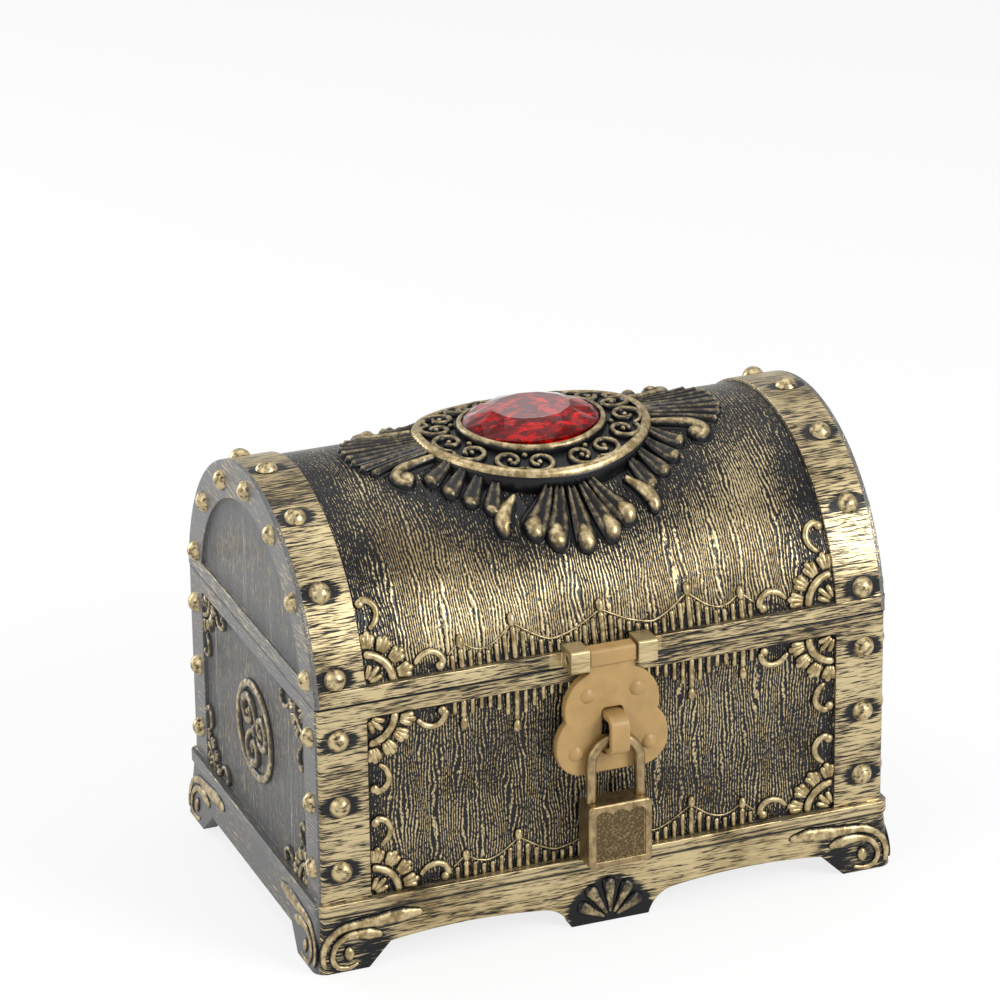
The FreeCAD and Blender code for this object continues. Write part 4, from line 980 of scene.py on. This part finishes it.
# Gem: faceted crown over a red foil of small facets
gem = {
    "sides": 12, "halfX": 18.95, "halfY": 15.95, "table": 0.57, "star": 0.85, "starRise": 2.1,
    "girdle": 125.7, "top": 129.5, "seat": 124.5, "colour": (0.74, 0.008, 0.012, 1), "rough": 0.02,
    "bend": 1.33, "coatBend": 2.4, "far": (-1, 3),
}


def gemFinish():
    # the table and the far facets mirror the bright surround
    material, shader, (x, y, z) = startMaterial("gemRed")
    mirror = z.above(gem["top"] - 0.05).most(y.ease(*gem["far"]))
    feed(shader, baseColor=gem["colour"], roughness=gem["rough"], iOR=gem["bend"], transmissionWeight=1.0,
         coatWeight=mirror, coatIOR=gem["coatBend"])
    return material


def oval(bm, halfX, halfY, level, count, shift=0.0, x=0.0):
    turns = [2 * math.pi * (k + shift) / count for k in range(count)]
    return [bm.verts.new((x + halfX * math.cos(t), midY + halfY * math.sin(t), level)) for t in turns]


def gemRing(bm, share, level, count, shift=0.0):
    return oval(bm, gem["halfX"] * share, gem["halfY"] * share, level, count, shift)


def makeGem():
    bm = bmesh.new()
    sides = gem["sides"]
    table = gemRing(bm, gem["table"], gem["top"], sides)
    star = gemRing(bm, gem["star"], gem["girdle"] + gem["starRise"], sides, 0.5)
    girdle = gemRing(bm, 1.0, gem["girdle"], sides * 2)
    seat = gemRing(bm, 1.0, gem["seat"], sides * 2)
    bm.faces.new(table)
    bm.faces.new(reversed(seat))
    for k in range(sides):
        n = (k + 1) % sides
        bm.faces.new((table[k], star[k], table[n]))
        bm.faces.new((table[k], star[k - 1], girdle[2 * k], star[k]))
        for a in (2 * k, 2 * k + 1):
            bm.faces.new((girdle[a], girdle[(a + 1) % (2 * sides)], star[k]))
    for k in range(sides * 2):
        n = (k + 1) % (sides * 2)
        bm.faces.new((girdle[k], seat[k], seat[n], girdle[n]))
    return makePiece("gem_stone", bm, gemFinish(), "lid", ("gem",), False)


# Foil: rows of facets from the edge in, each a share of the stone and a rise
foil = {
    "sides": 24, "rows": [(0.97, 0.0), (0.8, -0.9), (0.6, 0.55), (0.4, -0.8), (0.2, 0.5)],
    "lift": 0.75, "least": 0.35, "rise": 0.5, "floor": 2.2,
    "dark": (0.12, 0.0, 0.003, 1), "bright": (0.95, 0.03, 0.015, 1), "tone": (0.4, 1.05),
    "chips": ((0.3, 0.55), (0.75, 0.6)), "squash": 0.6, "metal": 0.3, "rough": 0.18, "glow": 0.14,
}


def foilFinish():
    # painted glints: chips of light and dark red, as facets would throw them about, on a foil that glows
    # faintly red as painted light
    material, shader, (x, y, z) = startMaterial("gemFoil")
    layers = []
    for scale, share in foil["chips"]:
        colour = x.cells(x * foil["squash"], y, z, scale, "Color")
        layers.append(x.node("ShaderNodeSeparateColor", {}, {0: colour}, 0) * share)
    red = (layers[0] + layers[1]).ease(*foil["tone"]).tint(foil["dark"], foil["bright"])
    # the emission is painted light, not a lamp
    feed(shader, baseColor=red, metallic=foil["metal"], roughness=foil["rough"], emissionColor=red,
         emissionStrength=foil["glow"])
    return material


def makeFoil():
    # small tilted facets that catch the light under the stone
    bm = bmesh.new()
    sides = foil["sides"]
    rings = []
    for number, (share, rise) in enumerate(foil["rows"]):
        ring = gemRing(bm, share, gem["seat"] + foil["lift"], sides, 0.5 * number)
        for k, vert in enumerate(ring):
            tilt = ((k * 7 + number * 5) % 4) / 3
            vert.co.z += rise * (foil["least"] + (1 - foil["least"]) * tilt) * foil["rise"]
        rings.append(ring)
    for first, second in zip(rings, rings[1:]):
        for k in range(sides):
            n = (k + 1) % sides
            bm.faces.new((first[k], first[n], second[k]))
            bm.faces.new((first[n], second[n], second[k]))
    bm.faces.new(rings[-1])
    low = gemRing(bm, foil["rows"][0][0], gem["seat"] - foil["floor"], sides)
    for k in range(sides):
        n = (k + 1) % sides
        bm.faces.new((rings[0][k], low[k], low[n], rings[0][n]))
    bm.faces.new(reversed(low))
    return makePiece("gem_foil", bm, foilFinish(), "lid", (), False)


# Pegs: radius and rise of each ring, from the rounded end up
pegs = {"apart": 8.5, "low": 119.3, "sides": 24,
        "rings": [(0.35, -0.05), (0.9, 0.02), (1.3, 0.25), (1.5, 0.7), (1.5, 4.7)]}


def makePegs():
    # the stone's two pegs come through the lid with rounded ends
    bm = bmesh.new()
    for sign in (1, -1):
        loft(bm, [oval(bm, radius, radius, pegs["low"] + rise, pegs["sides"], x=sign * pegs["apart"])
                  for radius, rise in pegs["rings"]], False)
    return makePiece("gem_pegs", bm, finish["peg"], "lid")


makeGem()
makeFoil()
makePegs()
print("gem set")


# Moulded pieces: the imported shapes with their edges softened; width of the softening, look, body and slot
soft = {
    "pieces": [("box_shell", 0.3, "box", "box", "gilt_plastic"),
               ("lid_shell", 0.3, "lid", "lid", "gilt_plastic"),
               ("hasp_plate", 0.45, "tan", "hasp", "tan_plastic"),
               ("staple", 0.4, "tan", "box", "tan_plastic"),
               ("padlock_case", 0.25, "case", "padlock", "lock_brass")],
    "holesX": 42, "holesZ": 108, "weld": 0.003, "flat": math.radians(0.6), "sharp": math.radians(32),
    "segments": 2, "profile": 0.6,
}


def offHoles(vert):
    # the lid round the stone's peg holes stays as packed
    return abs(vert.co.x) > soft["holesX"] or vert.co.z < soft["holesZ"]


def softenPiece(node, width, material, body):
    bm = bmesh.new()
    bm.from_mesh(nodes[node].data)
    bmesh.ops.scale(bm, vec=(1000, 1000, 1000), verts=bm.verts)
    bmesh.ops.remove_doubles(bm, verts=bm.verts, dist=soft["weld"])
    free = [v for v in bm.verts if offHoles(v)]
    edges = [e for e in bm.edges if offHoles(e.verts[0]) and offHoles(e.verts[1])]
    bmesh.ops.dissolve_limit(bm, angle_limit=soft["flat"], verts=free, edges=edges)
    sharp = [e for e in bm.edges if len(e.link_faces) == 2 and e.calc_face_angle() > soft["sharp"]
             and offHoles(e.verts[0])]
    bmesh.ops.bevel(bm, geom=sharp, offset=width, offset_type="OFFSET", segments=soft["segments"],
                    profile=soft["profile"], affect="EDGES", clamp_overlap=False)
    piece = makePiece(node + "_soft", bm, material, body, (node,))
    weighted = piece.modifiers.new("flatFaces", "WEIGHTED_NORMAL")
    weighted.keep_sharp = True
    return piece


for node, width, look, body, slot in soft["pieces"]:
    softenPiece(node, width, finish[look], body)
print("shells softened")

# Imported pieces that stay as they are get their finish
looks = {"shackle": "shackle", "key_plug": "shackle", "hasp_pin": "pin", "hinge_pin_left": "pin",
         "hinge_pin_right": "pin", "hasp_rivets": "tan"}
looks.update({name: "stud" for name in nodes if "_studs_" in name})
for name, look in looks.items():
    nodes[name].data.materials.clear()
    nodes[name].data.materials.append(finish[look])
print("packed pieces finished:", len(looks))


# Stage: pale floor, white surround and soft lamps; sizes in metres
stage = {
    "floor": 3.0, "floorColour": (0.95, 0.95, 0.95, 1), "floorRough": 0.9, "floorSeen": 0.8,
    "floorMirrored": 0.3, "surround": 0.4, "mirrored": 0.45, "white": (1, 1, 1, 1), "aim": (0, 0, 0.06),
}


def rayKind(first, name):
    return first.node("ShaderNodeLightPath", {}, {}, name)


def makeFloor():
    bm = bmesh.new()
    half = stage["floor"]
    bm.faces.new([bm.verts.new((x * half, y * half, 0)) for x, y in ((-1, -1), (1, -1), (1, 1), (-1, 1))])
    mesh = bpy.data.meshes.new("floor")
    bm.to_mesh(mesh)
    bm.free()
    material = bpy.data.materials.new("paleFloor")
    material.use_nodes = True
    shader = material.node_tree.nodes["Principled BSDF"]
    feed(shader, baseColor=stage["floorColour"], roughness=stage["floorRough"])
    first = Wire(shader.outputs[0])
    white = first.node("ShaderNodeEmission", {}, {"Color": stage["white"], "Strength": 1.0})
    share = (rayKind(first, "Is Camera Ray") * stage["floorSeen"]
             + rayKind(first, "Is Glossy Ray") * stage["floorMirrored"])
    mixed = first.node("ShaderNodeMixShader", {}, {0: share, 1: first, 2: white})
    output = material.node_tree.nodes["Material Output"]
    material.node_tree.links.new(mixed.socket, output.inputs["Surface"])
    mesh.materials.append(material)
    floor = bpy.data.objects.new("floor", mesh)
    bpy.context.scene.collection.objects.link(floor)


def makeSurround():
    world = bpy.data.worlds.new("surround")
    bpy.context.scene.world = world
    world.use_nodes = True
    back = world.node_tree.nodes["Background"]
    first = Wire(back.outputs[0])
    mirrored = rayKind(first, "Is Glossy Ray") * stage["mirrored"]
    seen = rayKind(first, "Is Camera Ray").most(mirrored).most(rayKind(first, "Is Transmission Ray"))
    world.node_tree.links.new(seen.switch(stage["surround"], 1.0).socket, back.inputs["Strength"])
    back.inputs["Color"].default_value = stage["white"]


lamps = {
    "front": {"place": (0.56, -0.78, 0.58), "size": 0.46, "watts": 8.0},
    "left": {"place": (-0.80, -0.25, 0.60), "size": 0.7, "watts": 2.4},
    "top": {"place": (0.05, 0.15, 0.95), "size": 0.9, "watts": 2.8},
    "back": {"place": (-0.55, 0.75, 0.30), "size": 0.5, "watts": 3.4},
}


def makeLamp(name, place, size, watts):
    data = bpy.data.lights.new(name, "AREA")
    data.shape = "SQUARE"
    data.size = size
    data.energy = watts
    lamp = bpy.data.objects.new(name, data)
    lamp.location = place
    lamp.rotation_euler = (Vector(stage["aim"]) - Vector(place)).to_track_quat("-Z", "Y").to_euler()
    bpy.context.scene.collection.objects.link(lamp)


# Camera: places in millimetres from the chest's middle, roll in degrees
view = {"eye": (-477.24, -1208.32, 658.32), "target": (-193.03, -474.6, 321.24), "lens": 187.9,
        "roll": -0.754, "sensor": 36, "far": 20}


def makeCamera():
    data = bpy.data.cameras.new("photoView")
    data.sensor_width = view["sensor"]
    data.sensor_fit = "HORIZONTAL"
    data.lens = view["lens"]
    data.clip_end = view["far"]
    camera = bpy.data.objects.new("photoView", data)
    shift = Vector((0, midY, 0))
    eye, target = Vector(view["eye"]) + shift, Vector(view["target"]) + shift
    camera.location = eye / 1000
    roll = Quaternion((0, 0, 1), math.radians(view["roll"]))
    camera.rotation_euler = ((target - eye).to_track_quat("-Z", "Y") @ roll).to_euler()
    bpy.context.scene.collection.objects.link(camera)
    bpy.context.scene.camera = camera


makeFloor()
makeSurround()
for name, lamp in lamps.items():
    makeLamp(name, **lamp)
makeCamera()
bpy.context.scene.view_settings.view_transform = "Standard"
print("stage and camera set")
